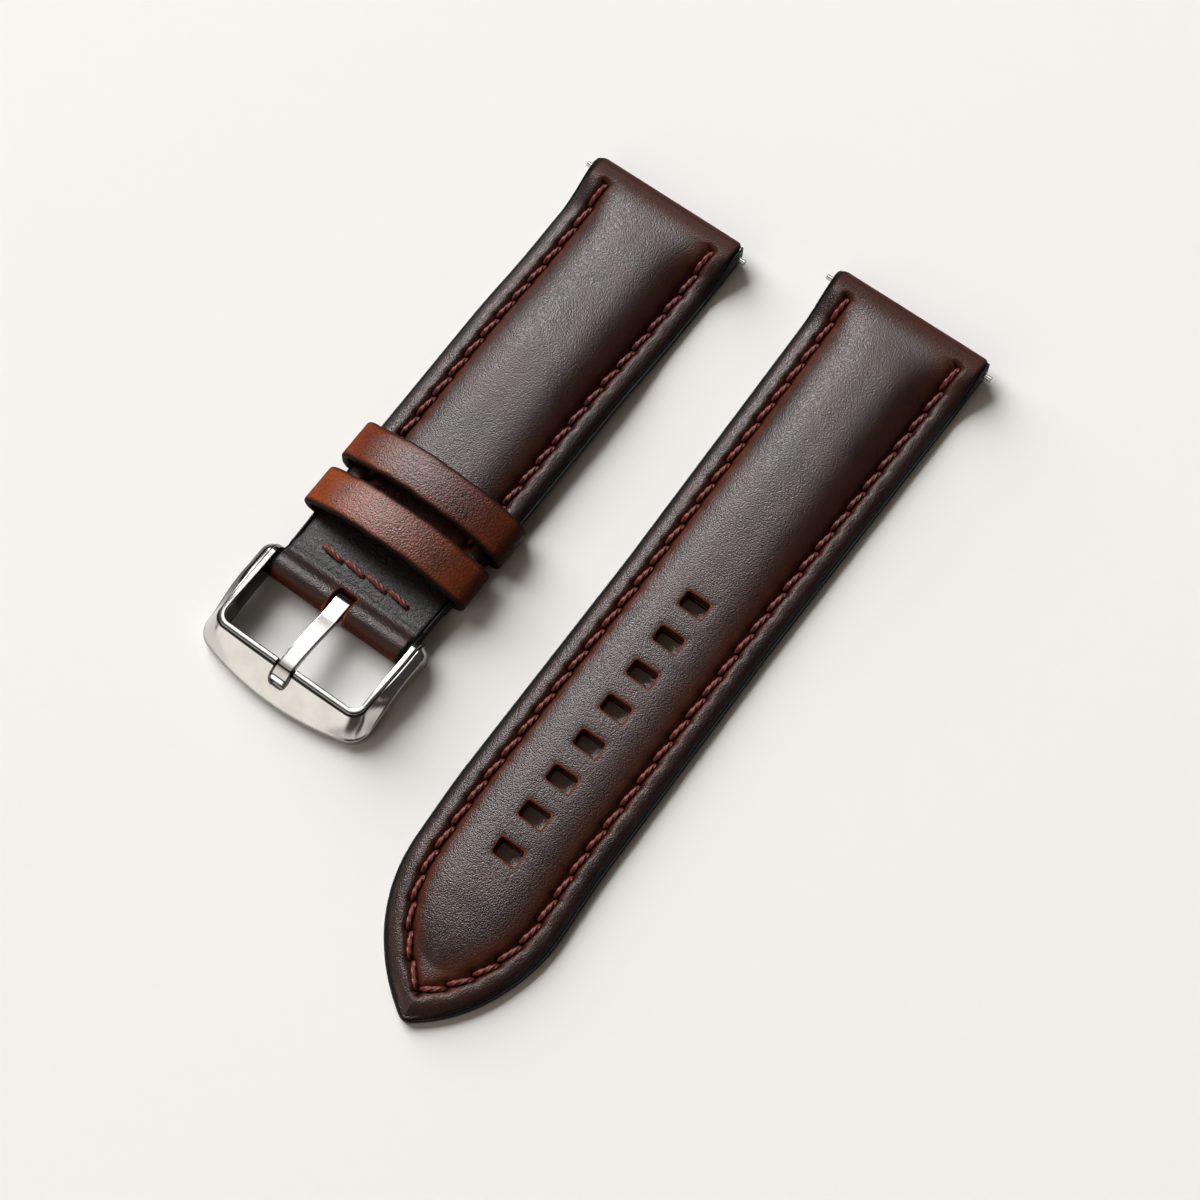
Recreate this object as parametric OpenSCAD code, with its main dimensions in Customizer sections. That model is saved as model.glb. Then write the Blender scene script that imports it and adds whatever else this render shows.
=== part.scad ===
// Leather watch strap in two halves, lying lining down side by side.
// The short half carries a pin buckle and two keepers, the long half the holes for the tongue.
// Both halves hold a quick-release spring bar in their lug end.
// Each half is drawn from its lug edge along +X, then set in place.

/* [Strap] */
// Width of both halves at the watch lugs
lug_w = 24; // [22:0.5:26]
// Width of the tail past its taper
tail_w = 22; // [20:0.5:23]
// Width of the short half where the keepers sit
keeper_end_w = 23; // [22.5:0.25:24]
// Clear width between the arms of the buckle
buckle_w = 22; // [20:0.5:22.5]
// Length of the long half, lug edge to point
long_len = 117; // [110:1:130]
// Length of the short half, lug edge to the end of the buckle fold
short_len = 76.5; // [74:0.5:90]
// Length over which the long half narrows
taper_len = 52; // [40:1:60]
// Length of the pointed tip
tip_len = 19.5; // [17:0.5:24]
// How far the point lies to one side
tip_skew = 1.5; // [0:0.25:2]
// Distance between the centre lines of the two halves as they lie
halves_apart = 37; // [34:0.5:50]
// How far the lug edge of the long half lies ahead of the short one
lug_stagger = 5; // [0:0.5:12]

/* [Leather] */
// Thickness of the upper leather
upper_t = 1; // [0.9:0.05:1.2]
// Thickness of the lining leather
lining_t = 1; // [0.9:0.05:1.2]
// Whole thickness over the padding next to the lugs
crown_lug = 4.3; // [4.1:0.1:5]
// Whole thickness over the padding of the tail
crown_tail = 3.1; // [2.9:0.1:3.5]
// Whole thickness over the padding before the keepers
crown_keeper = 3.6; // [3.2:0.1:4]
// Rounding of the top edges
edge_round = 0.4; // [0.2:0.05:0.6]
// Stitches between the lug end and the bend of the short half
short_bend_stitches = 3; // [3:1:4]
// Stitches between the lug end and the bend of the long half
long_bend_stitches = 6; // [4:1:8]
// Gap in the layers at a bend
bend_gap = 0.1; // [0.05:0.05:0.3]

/* [Holes] */
// Number of tongue holes
hole_count = 8; // [5:1:8]
// Spacing of the tongue holes
hole_pitch = 5.8; // [5:0.05:5.9]
// Lug edge to the first hole
hole_first = 52.5; // [50:0.5:54]
// Size of a hole along the strap
hole_l = 2.4; // [2:0.1:3]
// Size of a hole across the strap
hole_w = 3.6; // [3:0.1:4.2]

/* [Stitching] */
// Distance of a stitch row from the edge
stitch_in = 3; // [2.6:0.1:3.4]
// Spacing of the stitches
stitch_pitch = 3.6; // [3.2:0.1:4]
// Length of one stitch
stitch_len = 2.8; // [2.4:0.1:3]
// Diameter of the thread
thread_d = 0.7; // [0.5:0.05:0.8]
// Lug edge to the first stitch
stitch_start = 3.9; // [3.5:0.1:5]
// Stitches in the row across the buckle fold
cross_stitches = 4; // [3:1:5]

/* [Keepers] */
// Width of a keeper along the strap
keeper_w = 6; // [5:0.1:6.3]
// Thickness of a keeper
keeper_t = 1.1; // [0.9:0.05:1.3]
// Thickness of the free keeper under the lining
keeper_under_t = 0.85; // [0.7:0.05:1]
// Gap between the two keepers
keeper_gap = 1.9; // [1:0.1:3]
// Fixed keeper to the cross stitch
keeper_to_stitch = 3.6; // [3.4:0.1:5]
// Thickness of the fixed keeper where it runs between the layers
keeper_strip_t = 0.7; // [0.6:0.05:0.8]
// Room beside the strap inside a keeper
keeper_side_gap = 0.35; // [0.3:0.05:0.6]
// Radius of the top corners of a keeper
keeper_corner_r = 2.6; // [1.6:0.1:3]

/* [Buckle] */
// Bar axis to the outermost point of the frame
frame_reach = 15.7; // [15:0.1:17]
// Bar axis to the front end of the window
window_reach = 10.7; // [10:0.1:10.9]
// Width of the flat ridge on top of the frame
ridge_w = 1.15; // [0.9:0.05:1.4]
// Thickness of an arm at its foot
arm_t = 2.3; // [1.8:0.05:2.4]
// Whole height of the frame
frame_h = 4.7; // [4.5:0.1:5.2]
// Radius of the ears round the bar axis
ear_r = 2.1; // [1.8:0.05:2.1]
// Depth of the bar holes in the ears
ear_hole_depth = 1.2; // [1:0.05:1.4]
// Width of the tongue
tongue_w = 2.4; // [1.8:0.1:2.6]
// Thickness of the tongue
tongue_t = 1; // [0.8:0.05:1.1]
// Bar axis to the end of the tongue
tongue_reach = 13.4; // [13:0.1:13.8]

/* [Spring bars] */
// Diameter of the buckle bar's barrel
buckle_bar_d = 1.6; // [1.4:0.05:1.7]
// Diameter of a lug bar's barrel
lug_bar_d = 1.7; // [1.5:0.05:1.8]
// Diameter of the bar tips
tip_d = 0.8; // [0.6:0.05:0.8]
// How far a lug bar's tip stands out of the leather
tip_out = 1.4; // [1.2:0.1:1.6]
// Travel of the release lever
release_travel = 1.5; // [1.3:0.1:1.6]
// Lever to the near edge of the leather
lever_in = 4.8; // [4.6:0.1:6]

/* [Hidden] */

leather = "#4a2f2a";
leather_inside = "#8a5a3c";
filler = "#b9a68c";
thread = "#7a3324";
keeper_leather = "#7d3a1e";
steel = "#c9cacb";

SHORT = 0;
LONG = 1;
fine = 48;

// Clearances
glue = 0.05;          // glue line between two layers
run = 0.05;           // radial running fit of a pin
slide = 0.15;         // sliding gap of the free keeper
arm_gap = 0.3;        // leather to the arms of the buckle
bar_play = 0.15;      // barrel to the leather round it

// The flat margin outside the stitches
base_t = upper_t + lining_t;

// Lug end: the upper is turned round the lug bar
lug_loop_r = lug_bar_d/2 + bar_play;
lug_r = lug_loop_r + upper_t;
lug_t = 2*lug_r;
turn_in = 7;          // the turned end reaches this far back under the strap
wedge_len = 6;        // length over which the layers close behind the bar
lug_flat = 0.5;       // the roll runs on flat this far
margin_drop = 8;      // distance behind the roll at which the margin has its full drop

// Buckle end: the upper is turned round the buckle bar and back under the strap
fold_loop_r = buckle_bar_d/2 + bar_play + 0.1;
fold_r = fold_loop_r + upper_t;
bar_s = short_len - fold_r;
bar_z = fold_r + 0.1;
crease_s = bar_s - 3.1;
slot_s = bar_s - 2.1;
slot_w = tongue_w + 0.5;
cross_s = bar_s - 5;
fixed_keeper_s = cross_s - keeper_to_stitch - keeper_w;
free_keeper_s = fixed_keeper_s - keeper_gap - keeper_w;
flap_t = upper_t - 0.06;
flap_end_s = fixed_keeper_s - 0.5;
flap_dip = keeper_strip_t + 0.1;

// The short half rises over the free keeper's under side
lift_z = keeper_under_t + slide;
lift_start = 17;
lift_end = 31;

// Padding crown: where it has its full height and where it fades
crown_full_s = 12;
keeper_crown_start = 20;
short_crown_fade = free_keeper_s;
short_crown_end = fixed_keeper_s;
tail_crown_start = 20;
tail_crown_end = 60;
// How far from the point the crown starts to fade, ends, and the padding stops
point_fade = 13;
point_flat = 4;
point_pad = 11;
// The same for the stitch groove
point_groove = 5;
point_groove_end = 2.5;

// Stitch groove: half its width and its depth
groove_w = 0.55;
groove_depth = 0.5;

// Pointed tip: two arcs that meet the parallel edges smoothly
tip_s0 = long_len - tip_len;
tip_r = (tip_len*tip_len + tail_w*tail_w/4)/tail_w;
tip_blunt = 0.45;
row_r = tip_r - stitch_in;
row_end_angle = acos((tip_r - tail_w/2)/row_r);
row_total = tip_s0 + row_r*row_end_angle*PI/180;

// Stitch spacing, made even on the long half so that the rows meet at the point
long_stitches = round((row_total - stitch_start)/stitch_pitch);
long_pitch = (row_total - stitch_start)/long_stitches;
stitch_gap = stitch_pitch - stitch_len;
short_bend = stitch_start + short_bend_stitches*stitch_pitch - stitch_gap/2;
long_bend = stitch_start + long_bend_stitches*long_pitch - (long_pitch - stitch_len)/2;
short_stitches = floor((short_crown_end - stitch_start)/stitch_pitch);

// Places of the two halves: the origin is under the middle of both together
long_x0 = -long_len/2;
short_x0 = long_x0 + lug_stagger;

function lerp(a, b, k) = a + (b - a)*k;
function clamp01(x) = max(0, min(1, x));
function ease(a, b, x) = let (k = clamp01((x - a)/(b - a))) k*k*(3 - 2*k);

// Half width of a half at distance s from its lug edge
function half_width(h, s) =
  h == LONG
    ? (s <= tip_s0
        ? lerp(lug_w, tail_w, clamp01(s/taper_len))/2
        : max(tip_blunt, sqrt(tip_r*tip_r - pow(s - tip_s0, 2)) - (tip_r - tail_w/2)))
    : (s <= free_keeper_s
        ? lerp(lug_w, keeper_end_w, s/free_keeper_s)/2
        : lerp(keeper_end_w/2, buckle_w/2 - arm_gap,
               clamp01((s - free_keeper_s)/(cross_s - free_keeper_s))));

// Sideways shift of the centre line towards the point
function side_shift(h, s) = h == LONG ? tip_skew*pow(clamp01((s - tip_s0)/tip_len), 2) : 0;

// Distance of the stitch row from the centre line
function row_y(h, s) =
  let (w = half_width(h, s))
  h == LONG && s > tip_s0
    ? max(0.3*w, sqrt(max(0, row_r*row_r - pow(s - tip_s0, 2))) - (tip_r - tail_w/2))
    : w - stitch_in;

// Half width of the groove measured straight across, wider where the row runs aslant
function groove_half(h, s) =
  let (w = half_width(h, s), f = row_y(h, s),
       slant = h == LONG ? clamp01((s - tip_s0)/row_r) : 0)
  min(groove_w/max(0.3, sqrt(1 - slant*slant)), (w - f)/4);

function lift(h, s) = h == SHORT ? lift_z*ease(lift_start, lift_end, s) : 0;

// Top of the flat margin and of the crown over the lining's under side
function margin_z(h, s) = lerp(lug_t, base_t, ease(lug_r + lug_flat, lug_r + margin_drop, s));
function crown_z(h, s) =
  let (m = margin_z(h, s),
       rise = lerp(lug_t, crown_lug, ease(lug_r, crown_full_s, s)),
       body = h == LONG ? lerp(rise, crown_tail, ease(tail_crown_start, tail_crown_end, s))
                        : lerp(rise, crown_keeper, ease(keeper_crown_start, free_keeper_s, s)),
       keep = h == LONG ? ease(long_len - point_flat, long_len - point_fade, s)
                        : 1 - ease(short_crown_fade, short_crown_end, s))
  m + (max(body, m) - m)*keep;
function groove(h, s) =
  groove_depth*ease(stitch_start - 1.2, stitch_start, s)
  *(h == LONG ? ease(long_len - point_groove_end, long_len - point_groove, s)
              : 1 - ease(short_crown_end - 1, short_crown_end + 0.5, s));
// Under side of the upper in the margin: it closes on the lining behind the bar
function margin_under(h, s) =
  lining_t + (lug_t - upper_t - lining_t)*(1 - ease(lug_r, lug_r + wedge_len, s));

// Points across one side, from the centre: crown, groove, margin
crown_q = [0, 0.3, 0.55, 0.75, 0.9, 1];
function crown_shape(q) = 1 - q*q*q;
function side_y(h, s) =
  let (w = half_width(h, s), f = row_y(h, s), g = groove_half(h, s),
       e = min(edge_round, (w - f)/4))
  concat([for (q = crown_q) q*(f - g)], [f, f + g, w - e, w]);
function side_top(h, s) =
  let (m = margin_z(h, s), c = crown_z(h, s))
  concat([for (q = crown_q) m + (c - m)*crown_shape(q)],
         [m - groove(h, s), m, m, m - edge_round]);
function side_under(h, s) =
  let (m = margin_z(h, s), c = crown_z(h, s), u = margin_under(h, s))
  concat([for (q = crown_q) max(u, m + (c - m)*crown_shape(q) - upper_t)], [u, u, u, u]);

// A full row across, from one edge to the other
function mirror_y(v) = concat([for (k = [len(v) - 1:-1:1]) -v[k]], v);
function mirror_z(v) = concat([for (k = [len(v) - 1:-1:1]) v[k]], v);
function across(h, s) = [for (y = mirror_y(side_y(h, s))) y + side_shift(h, s)];
function body_row(h, s, zs) =
  let (y = across(h, s), z = mirror_z(zs), up = lift(h, s))
  [for (j = [0:len(y) - 1]) [s, y[j], z[j] + up]];
function top_row(h, s) = body_row(h, s, side_top(h, s));
function under_row(h, s) = body_row(h, s, side_under(h, s));
function level_row(h, x, z) = [for (y = across(h, max(x, 0))) [x, y, z]];

// Rows of points behind the roll: the first, their spacing, the last of seven more
row_first = 1;
row_step = 1.2;
row_last = row_first + 7*row_step;
// Distances from the lug edge at which the layers have a row of points
function stations(h) =
  let (first = [for (k = [0:7]) lug_r + row_first + row_step*k],
       last = h == LONG
         ? concat([for (k = [1:7]) lerp(lug_r + row_last, tip_s0, k/7)],
                  [for (k = [1:10]) tip_s0 + tip_len*sin(9*k)])
         : concat([for (k = [1:8]) lerp(lug_r + row_last, free_keeper_s, k/8)],
                  [for (k = [1:4]) lerp(free_keeper_s, short_crown_end, k/4)], [crease_s - 0.4]))
  concat(first, last);
function span(h, a, b) =
  concat([a], [for (s = stations(h)) if (s > a + 0.25 && s < b - 0.25) s], [b]);

// A closed skin between two grids of points, upper[i][j] and lower[i][j]
module skin(upper, lower) {
  n = len(upper);
  m = len(upper[0]);
  pts = [for (g = [upper, lower]) for (r = g) for (p = r) p];
  function id(g, i, j) = (g*n + i)*m + j;
  tops = [for (i = [0:n - 2], j = [0:m - 2]) each [
    [id(0, i, j), id(0, i, j + 1), id(0, i + 1, j + 1)],
    [id(0, i, j), id(0, i + 1, j + 1), id(0, i + 1, j)],
    [id(1, i, j), id(1, i + 1, j + 1), id(1, i, j + 1)],
    [id(1, i, j), id(1, i + 1, j), id(1, i + 1, j + 1)]]];
  sides = [for (i = [0:n - 2]) each [
    [id(0, i, 0), id(0, i + 1, 0), id(1, i + 1, 0)],
    [id(0, i, 0), id(1, i + 1, 0), id(1, i, 0)],
    [id(0, i, m - 1), id(1, i + 1, m - 1), id(0, i + 1, m - 1)],
    [id(0, i, m - 1), id(1, i, m - 1), id(1, i + 1, m - 1)]]];
  ends = [for (j = [0:m - 2]) each [
    [id(0, 0, j + 1), id(0, 0, j), id(1, 0, j)],
    [id(0, 0, j + 1), id(1, 0, j), id(1, 0, j + 1)],
    [id(0, n - 1, j), id(0, n - 1, j + 1), id(1, n - 1, j + 1)],
    [id(0, n - 1, j), id(1, n - 1, j + 1), id(1, n - 1, j)]]];
  polyhedron(pts, concat(tops, sides, ends), convexity = 8);
}

module place_half(h) {
  translate(h == LONG ? [long_x0, halves_apart/2, 0] : [short_x0, -halves_apart/2, 0]) children();
}

// A plain box from one corner to another
module block(a, b) {
  translate(a) cube(b - a);
}

// A round bar along Y
module y_rod(d, y0, y1) {
  translate([0, y0, 0]) rotate([-90, 0, 0]) cylinder(h = y1 - y0, d = d, $fn = fine);
}

// Leather layers of the lug end: the upper turned round the bar
module lug_end_upper(h, bend) {
  turn = [for (k = [0:10]) 270 - 18*k];
  body = span(h, lug_r + row_first, bend - bend_gap/2);
  outer = concat([level_row(h, turn_in, 0), level_row(h, 0.7*turn_in, 0)],
    [for (a = turn) level_row(h, lug_r + lug_r*cos(a), lug_r + lug_r*sin(a))],
    [for (s = body) top_row(h, s)]);
  inner = concat([level_row(h, turn_in, upper_t), level_row(h, 0.7*turn_in, upper_t)],
    [for (a = turn) level_row(h, lug_r + lug_loop_r*cos(a), lug_r + lug_loop_r*sin(a))],
    [for (s = body) under_row(h, s)]);
  difference() {
    skin(outer, inner);
    lever_notch();
  }
}

// Opening under the lug end through which a finger reaches the lever
lever_y = lug_w/2 - lever_in;
notch_room = 1.1;
module lever_notch() {
  block([lug_r - 1, lever_y - release_travel - notch_room, -1],
        [lug_r + 2.4, lever_y + notch_room, lug_r - lug_loop_r + 0.3]);
}

module lining(h, a, b) {
  rows = span(h, a, b);
  function edge_rows(z) = [for (s = rows) [for (k = [-1, 0, 1])
    [s, k*half_width(h, s) + side_shift(h, s), z + lift(h, s)]]];
  skin(edge_rows(lining_t - glue/5), edge_rows(0));
}

pad_q = [0, 0.3, 0.55, 0.75, 0.9];
module padding(h, a, b) {
  rows = span(h, a, b);
  function pad_y(s) = [for (q = pad_q) q*(row_y(h, s) - groove_half(h, s))];
  function pad_top(s) = let (m = margin_z(h, s), c = crown_z(h, s))
    [for (q = pad_q) m + (c - m)*crown_shape(q) - upper_t - glue];
  function pad_row(s, z) =
    let (y = mirror_y(pad_y(s)), up = lift(h, s))
    [for (j = [0:len(y) - 1]) [s, y[j] + side_shift(h, s), z[j] + up]];
  flat = [for (y = mirror_y(pad_q)) lining_t];
  skin([for (s = rows) pad_row(s, mirror_z(pad_top(s)))], [for (s = rows) pad_row(s, flat)]);
}

// Height of the groove along a half, straight between its rows of points
function groove_z(h, s) =
  lookup(s, [for (t = concat([lug_r], stations(h))) [t, margin_z(h, t) - groove(h, t) + lift(h, t)]]);

// A point of the stitch row at distance d along it, on the side with the given sign
function row_point(h, d, sign) =
  let (arc = h == LONG && d > tip_s0,
       a = arc ? (d - tip_s0)/row_r*180/PI : 0,
       s = arc ? tip_s0 + row_r*sin(a) : d,
       y = arc ? row_r*cos(a) - (tip_r - tail_w/2) : row_y(h, d))
  [s, sign*y + side_shift(h, s), groove_z(h, s) + thread_d*0.7 + glue];

module thread_bar(p, q) {
  v = q - p;
  translate(p) rotate([0, acos(v[2]/norm(v)), atan2(v[1], v[0])])
    cylinder(h = norm(v), d = thread_d, $fn = 16);
}

// Stitches number first to last of the row on one side
module stitch_row(h, pitch, first, last, sign) {
  for (k = [first:last]) {
    d = stitch_start + k*pitch;
    thread_bar(row_point(h, d, sign), row_point(h, d + stitch_len, sign));
  }
}

module hole_cuts() {
  for (k = [0:hole_count - 1])
    block([hole_first + k*hole_pitch - hole_l/2, -hole_w/2, -1],
          [hole_first + k*hole_pitch + hole_l/2, hole_w/2, crown_lug + 1]);
}

// Quick-release bar: the -Y tip is fixed, the +Y tip slides with the lever
barrel_half = lug_w/2 - 0.6;
barrel_bore_d = lug_bar_d - 0.5;
plunger_d = barrel_bore_d - 2*run;
neck_d = plunger_d - 0.1;
barrel_wall = 0.4;
plunger_len = 4.6;
bar_spring_len = 8;
plunger_y = barrel_half - barrel_wall - plunger_len;
module at_lug_bar(h) {
  place_half(h) translate([lug_r, 0, lug_r]) children();
}
module lug_bar_barrel(h) {
  at_lug_bar(h) color(steel) difference() {
    y_rod(lug_bar_d, -barrel_half, barrel_half);
    y_rod(barrel_bore_d, -barrel_half - 1, barrel_half - barrel_wall);
    y_rod(neck_d + 2*run, 0, barrel_half + 1);
    block([-lever_pin_d/2 - 0.1, lever_y - release_travel - lever_pin_d/2 - 0.15, -lug_bar_d],
          [lever_pin_d/2 + 0.1, lever_y + lever_pin_d/2 + 0.1, 0]);
  }
}
// A tip from y1 to y2 behind a tapered neck that starts at y0
neck_taper = 0.6;
module bar_tip(d0, y0, y1, y2) {
  y_rod(d0, y0, y1 - neck_taper);
  translate([0, y1 - neck_taper, 0]) rotate([-90, 0, 0])
    cylinder(h = neck_taper, d1 = d0, d2 = tip_d, $fn = fine);
  y_rod(tip_d, y1, y2 - 0.1);
  translate([0, y2 - 0.1, 0]) rotate([-90, 0, 0])
    cylinder(h = 0.1, d1 = tip_d, d2 = tip_d - 0.16, $fn = fine);
}
module lug_bar_fixed_tip(h) {
  at_lug_bar(h) color(steel) mirror([0, 1, 0]) {
    y_rod(barrel_bore_d - 0.02, -(plunger_y - bar_spring_len), barrel_half);
    bar_tip(neck_d, barrel_half - 1, lug_w/2, lug_w/2 + tip_out);
  }
}
module lug_bar_spring(h) {
  at_lug_bar(h) color("silver") difference() {
    y_rod(plunger_d - 0.04, plunger_y - bar_spring_len + 0.02, plunger_y - 0.02);
    y_rod(plunger_d - 0.34, plunger_y - bar_spring_len - 1, plunger_y + 1);
  }
}
lever_pin_d = 0.6;
lever_knob_d = 1.5;
lever_foot = 0.15;
module lug_bar_sliding_tip(h) {
  at_lug_bar(h) color(steel) difference() {
    union() {
      y_rod(plunger_d, plunger_y, plunger_y + plunger_len);
      bar_tip(neck_d, plunger_y + plunger_len, lug_w/2, lug_w/2 + tip_out);
    }
    translate([0, lever_y, -2]) cylinder(h = 2.2, d = lever_pin_d + 0.02, $fn = fine);
  }
}
module lug_bar_lever(h) {
  place_half(h) translate([lug_r, lever_y, lever_foot]) color(steel) {
    cylinder(h = lug_r - lever_foot + 0.15, d = lever_pin_d, $fn = fine);
    cylinder(h = 0.6, d = lever_knob_d, $fn = fine);
  }
}

// Short half
module short_upper_lug_end() {
  place_half(SHORT) color(leather) lug_end_upper(SHORT, short_bend);
}
module short_upper() {
  body = span(SHORT, short_bend + bend_gap/2, crease_s);
  fold = [for (k = [0:10]) 120 - 24*k];
  under_z = lift_z + base_t;
  loose_z = lift_z + upper_t - flap_t;
  flap = [[crease_s, lift_z], [fixed_keeper_s + keeper_w + 2, lift_z],
          [fixed_keeper_s + keeper_w + 0.6, lift_z - flap_dip], [flap_end_s, lift_z - flap_dip]];
  outer = concat([for (s = body) top_row(SHORT, s)],
    [for (a = fold) level_row(SHORT, bar_s + fold_r*cos(a), bar_z + fold_r*sin(a))],
    [for (p = flap) level_row(SHORT, p[0], p[1])]);
  inner = concat([for (s = body) under_row(SHORT, s)],
    [for (a = fold) level_row(SHORT, bar_s + fold_loop_r*cos(a), bar_z + fold_loop_r*sin(a))],
    [for (p = flap) level_row(SHORT, p[0], p[1] + flap_t)]);
  cross_half = (cross_stitches*stitch_pitch)/2 + 0.2;
  place_half(SHORT) color(leather) difference() {
    skin(outer, inner);
    block([slot_s, -slot_w/2, -1], [short_len + 1, slot_w/2, under_z + 3]);
    block([cross_s - thread_d/2 - 0.1, -cross_half, under_z - 0.35],
          [cross_s + thread_d/2 + 0.1, cross_half, under_z + 1]);
  }
}
module short_lining_lug_end() {
  place_half(SHORT) color(leather_inside) lining(SHORT, turn_in + glue, short_bend - bend_gap/2);
}
module short_lining() {
  place_half(SHORT) color(leather_inside)
    lining(SHORT, short_bend + bend_gap/2, flap_end_s - 0.2);
}
module short_padding_lug_end() {
  place_half(SHORT) color(filler) padding(SHORT, 2*lug_r, short_bend - bend_gap/2);
}
module short_padding() {
  place_half(SHORT) color(filler)
    padding(SHORT, short_bend + bend_gap/2, lerp(short_crown_fade, short_crown_end, 0.45));
}
module short_stitching_left_lug_end() {
  place_half(SHORT) color(thread) stitch_row(SHORT, stitch_pitch, 0, short_bend_stitches - 1, 1);
}
module short_stitching_left() {
  place_half(SHORT) color(thread)
    stitch_row(SHORT, stitch_pitch, short_bend_stitches, short_stitches - 1, 1);
}
module short_stitching_right_lug_end() {
  place_half(SHORT) color(thread) stitch_row(SHORT, stitch_pitch, 0, short_bend_stitches - 1, -1);
}
module short_stitching_right() {
  place_half(SHORT) color(thread)
    stitch_row(SHORT, stitch_pitch, short_bend_stitches, short_stitches - 1, -1);
}
module cross_stitching() {
  z = lift_z + base_t - 0.35 + thread_d/2 + 0.02;
  place_half(SHORT) color(thread) for (k = [0:cross_stitches - 1]) {
    y = (k - cross_stitches/2)*stitch_pitch + stitch_gap/2;
    thread_bar([cross_s, y, z], [cross_s, y + stitch_len, z]);
  }
}

// Keepers: closed bands, wide enough for the strap and high enough for the tail above it
keeper_in_half = keeper_end_w/2 + (lug_w - keeper_end_w)/2*0.4 + keeper_side_gap;
keeper_in_top = lift_z + base_t + crown_tail + 0.2;
keeper_rise = 0.35;
// Outline of a keeper seen along the strap, grown outwards by t
function keeper_outline(z0, t) =
  let (w = keeper_in_half + t, top = keeper_in_top + t, r = keeper_corner_r - keeper_t + t,
       low = min(r, 0.6 + t))
  concat(
    [for (k = [0:6]) let (a = -90 + 15*k) [w - low + low*cos(a), z0 + low + low*sin(a)]],
    [for (k = [0:6]) let (a = 15*k) [w - r + r*cos(a), top - r + r*sin(a)]],
    [for (k = [1:7]) let (u = 1 - k/4) [(w - r)*u, top + keeper_rise*(1 - u*u)]],
    [for (k = [0:6]) let (a = 90 + 15*k) [r - w + r*cos(a), top - r + r*sin(a)]],
    [for (k = [0:6]) let (a = 180 + 15*k) [low - w + low*cos(a), z0 + low + low*sin(a)]]);
module keeper(s, z0, under_t) {
  place_half(SHORT) translate([s + keeper_w, 0, 0]) rotate([90, 0, -90]) color(keeper_leather)
    linear_extrude(keeper_w) difference() {
      polygon(keeper_outline(z0, keeper_t));
      polygon(keeper_outline(z0 + under_t, 0));
    }
}
module free_keeper() {
  keeper(free_keeper_s, 0, keeper_under_t);
}
module fixed_keeper() {
  keeper(fixed_keeper_s, lift_z - flap_dip + flap_t + 0.06, keeper_strip_t);
}

// Buckle, drawn about the bar axis
module at_buckle_bar() {
  place_half(SHORT) translate([bar_s, 0, bar_z]) children();
}
frame_top = frame_h - bar_z;
frame_foot = -bar_z;
frame_half = buckle_w/2 + arm_t;
bulge = 1.4;
corner_out = 3;
corner_in = 1.3;
// Outline of the frame from above: straight arms, round corners, a bowed front
function frame_outline() =
  let (x1 = frame_reach - bulge, r = corner_out,
       right = concat([[-ear_r, frame_half], [x1 - r, frame_half]],
         [for (k = [1:5]) let (a = 90 - 15*k) [x1 - r + r*cos(a), frame_half - r + r*sin(a)]]),
       front = [for (k = [0:12]) let (u = 1 - k/6)
         [x1 - 0.1 + (bulge + 0.1)*(1 - u*u), (frame_half - r + 0.8)*u]],
       left = [for (k = [len(right) - 1:-1:0]) [right[k][0], -right[k][1]]])
  concat(right, front, left);
function window_outline() =
  let (w = buckle_w/2, r = corner_in)
  concat([[-ear_r - 1, w]],
    [for (k = [0:6]) let (a = 90 - 15*k) [window_reach - r + r*cos(a), w - r + r*sin(a)]],
    [for (k = [0:6]) let (a = -15*k) [window_reach - r + r*cos(a), r - w + r*sin(a)]],
    [[-ear_r - 1, -w]]);
ridge_x = window_reach + ridge_w;
lip_x = frame_reach - 0.3;
lip_z = frame_foot + 1.7;
bevel_slope = (frame_top - lip_z)/(lip_x - ridge_x);
notch_reach = tongue_reach + 0.35;
// Floor of the tongue's notch: level over the ridge, then parallel to the bevel
function notch_floor(x) = frame_top - 0.95 - max(0, x - ridge_x)*bevel_slope*0.75;
module buckle_frame() {
  profile = [[0, ear_r - 0.04], [window_reach*0.6, frame_top], [ridge_x, frame_top], [lip_x, lip_z],
    [frame_reach + 0.1, lip_z - 0.5], [frame_reach + 0.1, frame_foot + 0.5],
    [lip_x - 0.6, frame_foot], [window_reach - 1.2, frame_foot], [3, -ear_r + 0.35],
    [0, -ear_r + 0.04]];
  slope_cut = [[frame_half - arm_t + ridge_w, frame_top + 1], [frame_half - arm_t + ridge_w, frame_top],
    [frame_half - 0.1, lip_z], [frame_half + 0.2, lip_z - 0.4], [frame_half + 2, lip_z - 0.4],
    [frame_half + 2, frame_top + 1]];
  at_buckle_bar() color(steel) difference() {
    intersection() {
      translate([0, 0, frame_foot]) linear_extrude(frame_h) polygon(frame_outline());
      union() {
        y_rod(2*ear_r, -frame_half - 1, frame_half + 1);
        translate([0, frame_half + 1, 0]) rotate([90, 0, 0]) linear_extrude(2*frame_half + 2)
          polygon(profile);
      }
    }
    translate([0, 0, frame_foot - 1]) linear_extrude(frame_h + 2) polygon(window_outline());
    for (side = [0, 1]) mirror([0, side, 0]) {
      translate([-ear_r - 1, 0, 0]) rotate([90, 0, 90])
        linear_extrude(frame_reach + ear_r + 2) polygon(slope_cut);
      y_rod(tip_d + 2*run, buckle_w/2 - 1, buckle_w/2 + ear_hole_depth);
    }
    translate([0, tongue_w/2 + 0.2, 0]) rotate([90, 0, 0]) linear_extrude(tongue_w + 0.4)
      polygon([[window_reach - 2, notch_floor(0)], [ridge_x, notch_floor(0)],
        [notch_reach, notch_floor(notch_reach)], [notch_reach, frame_top + 1],
        [window_reach - 2, frame_top + 1]]);
  }
}

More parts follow.
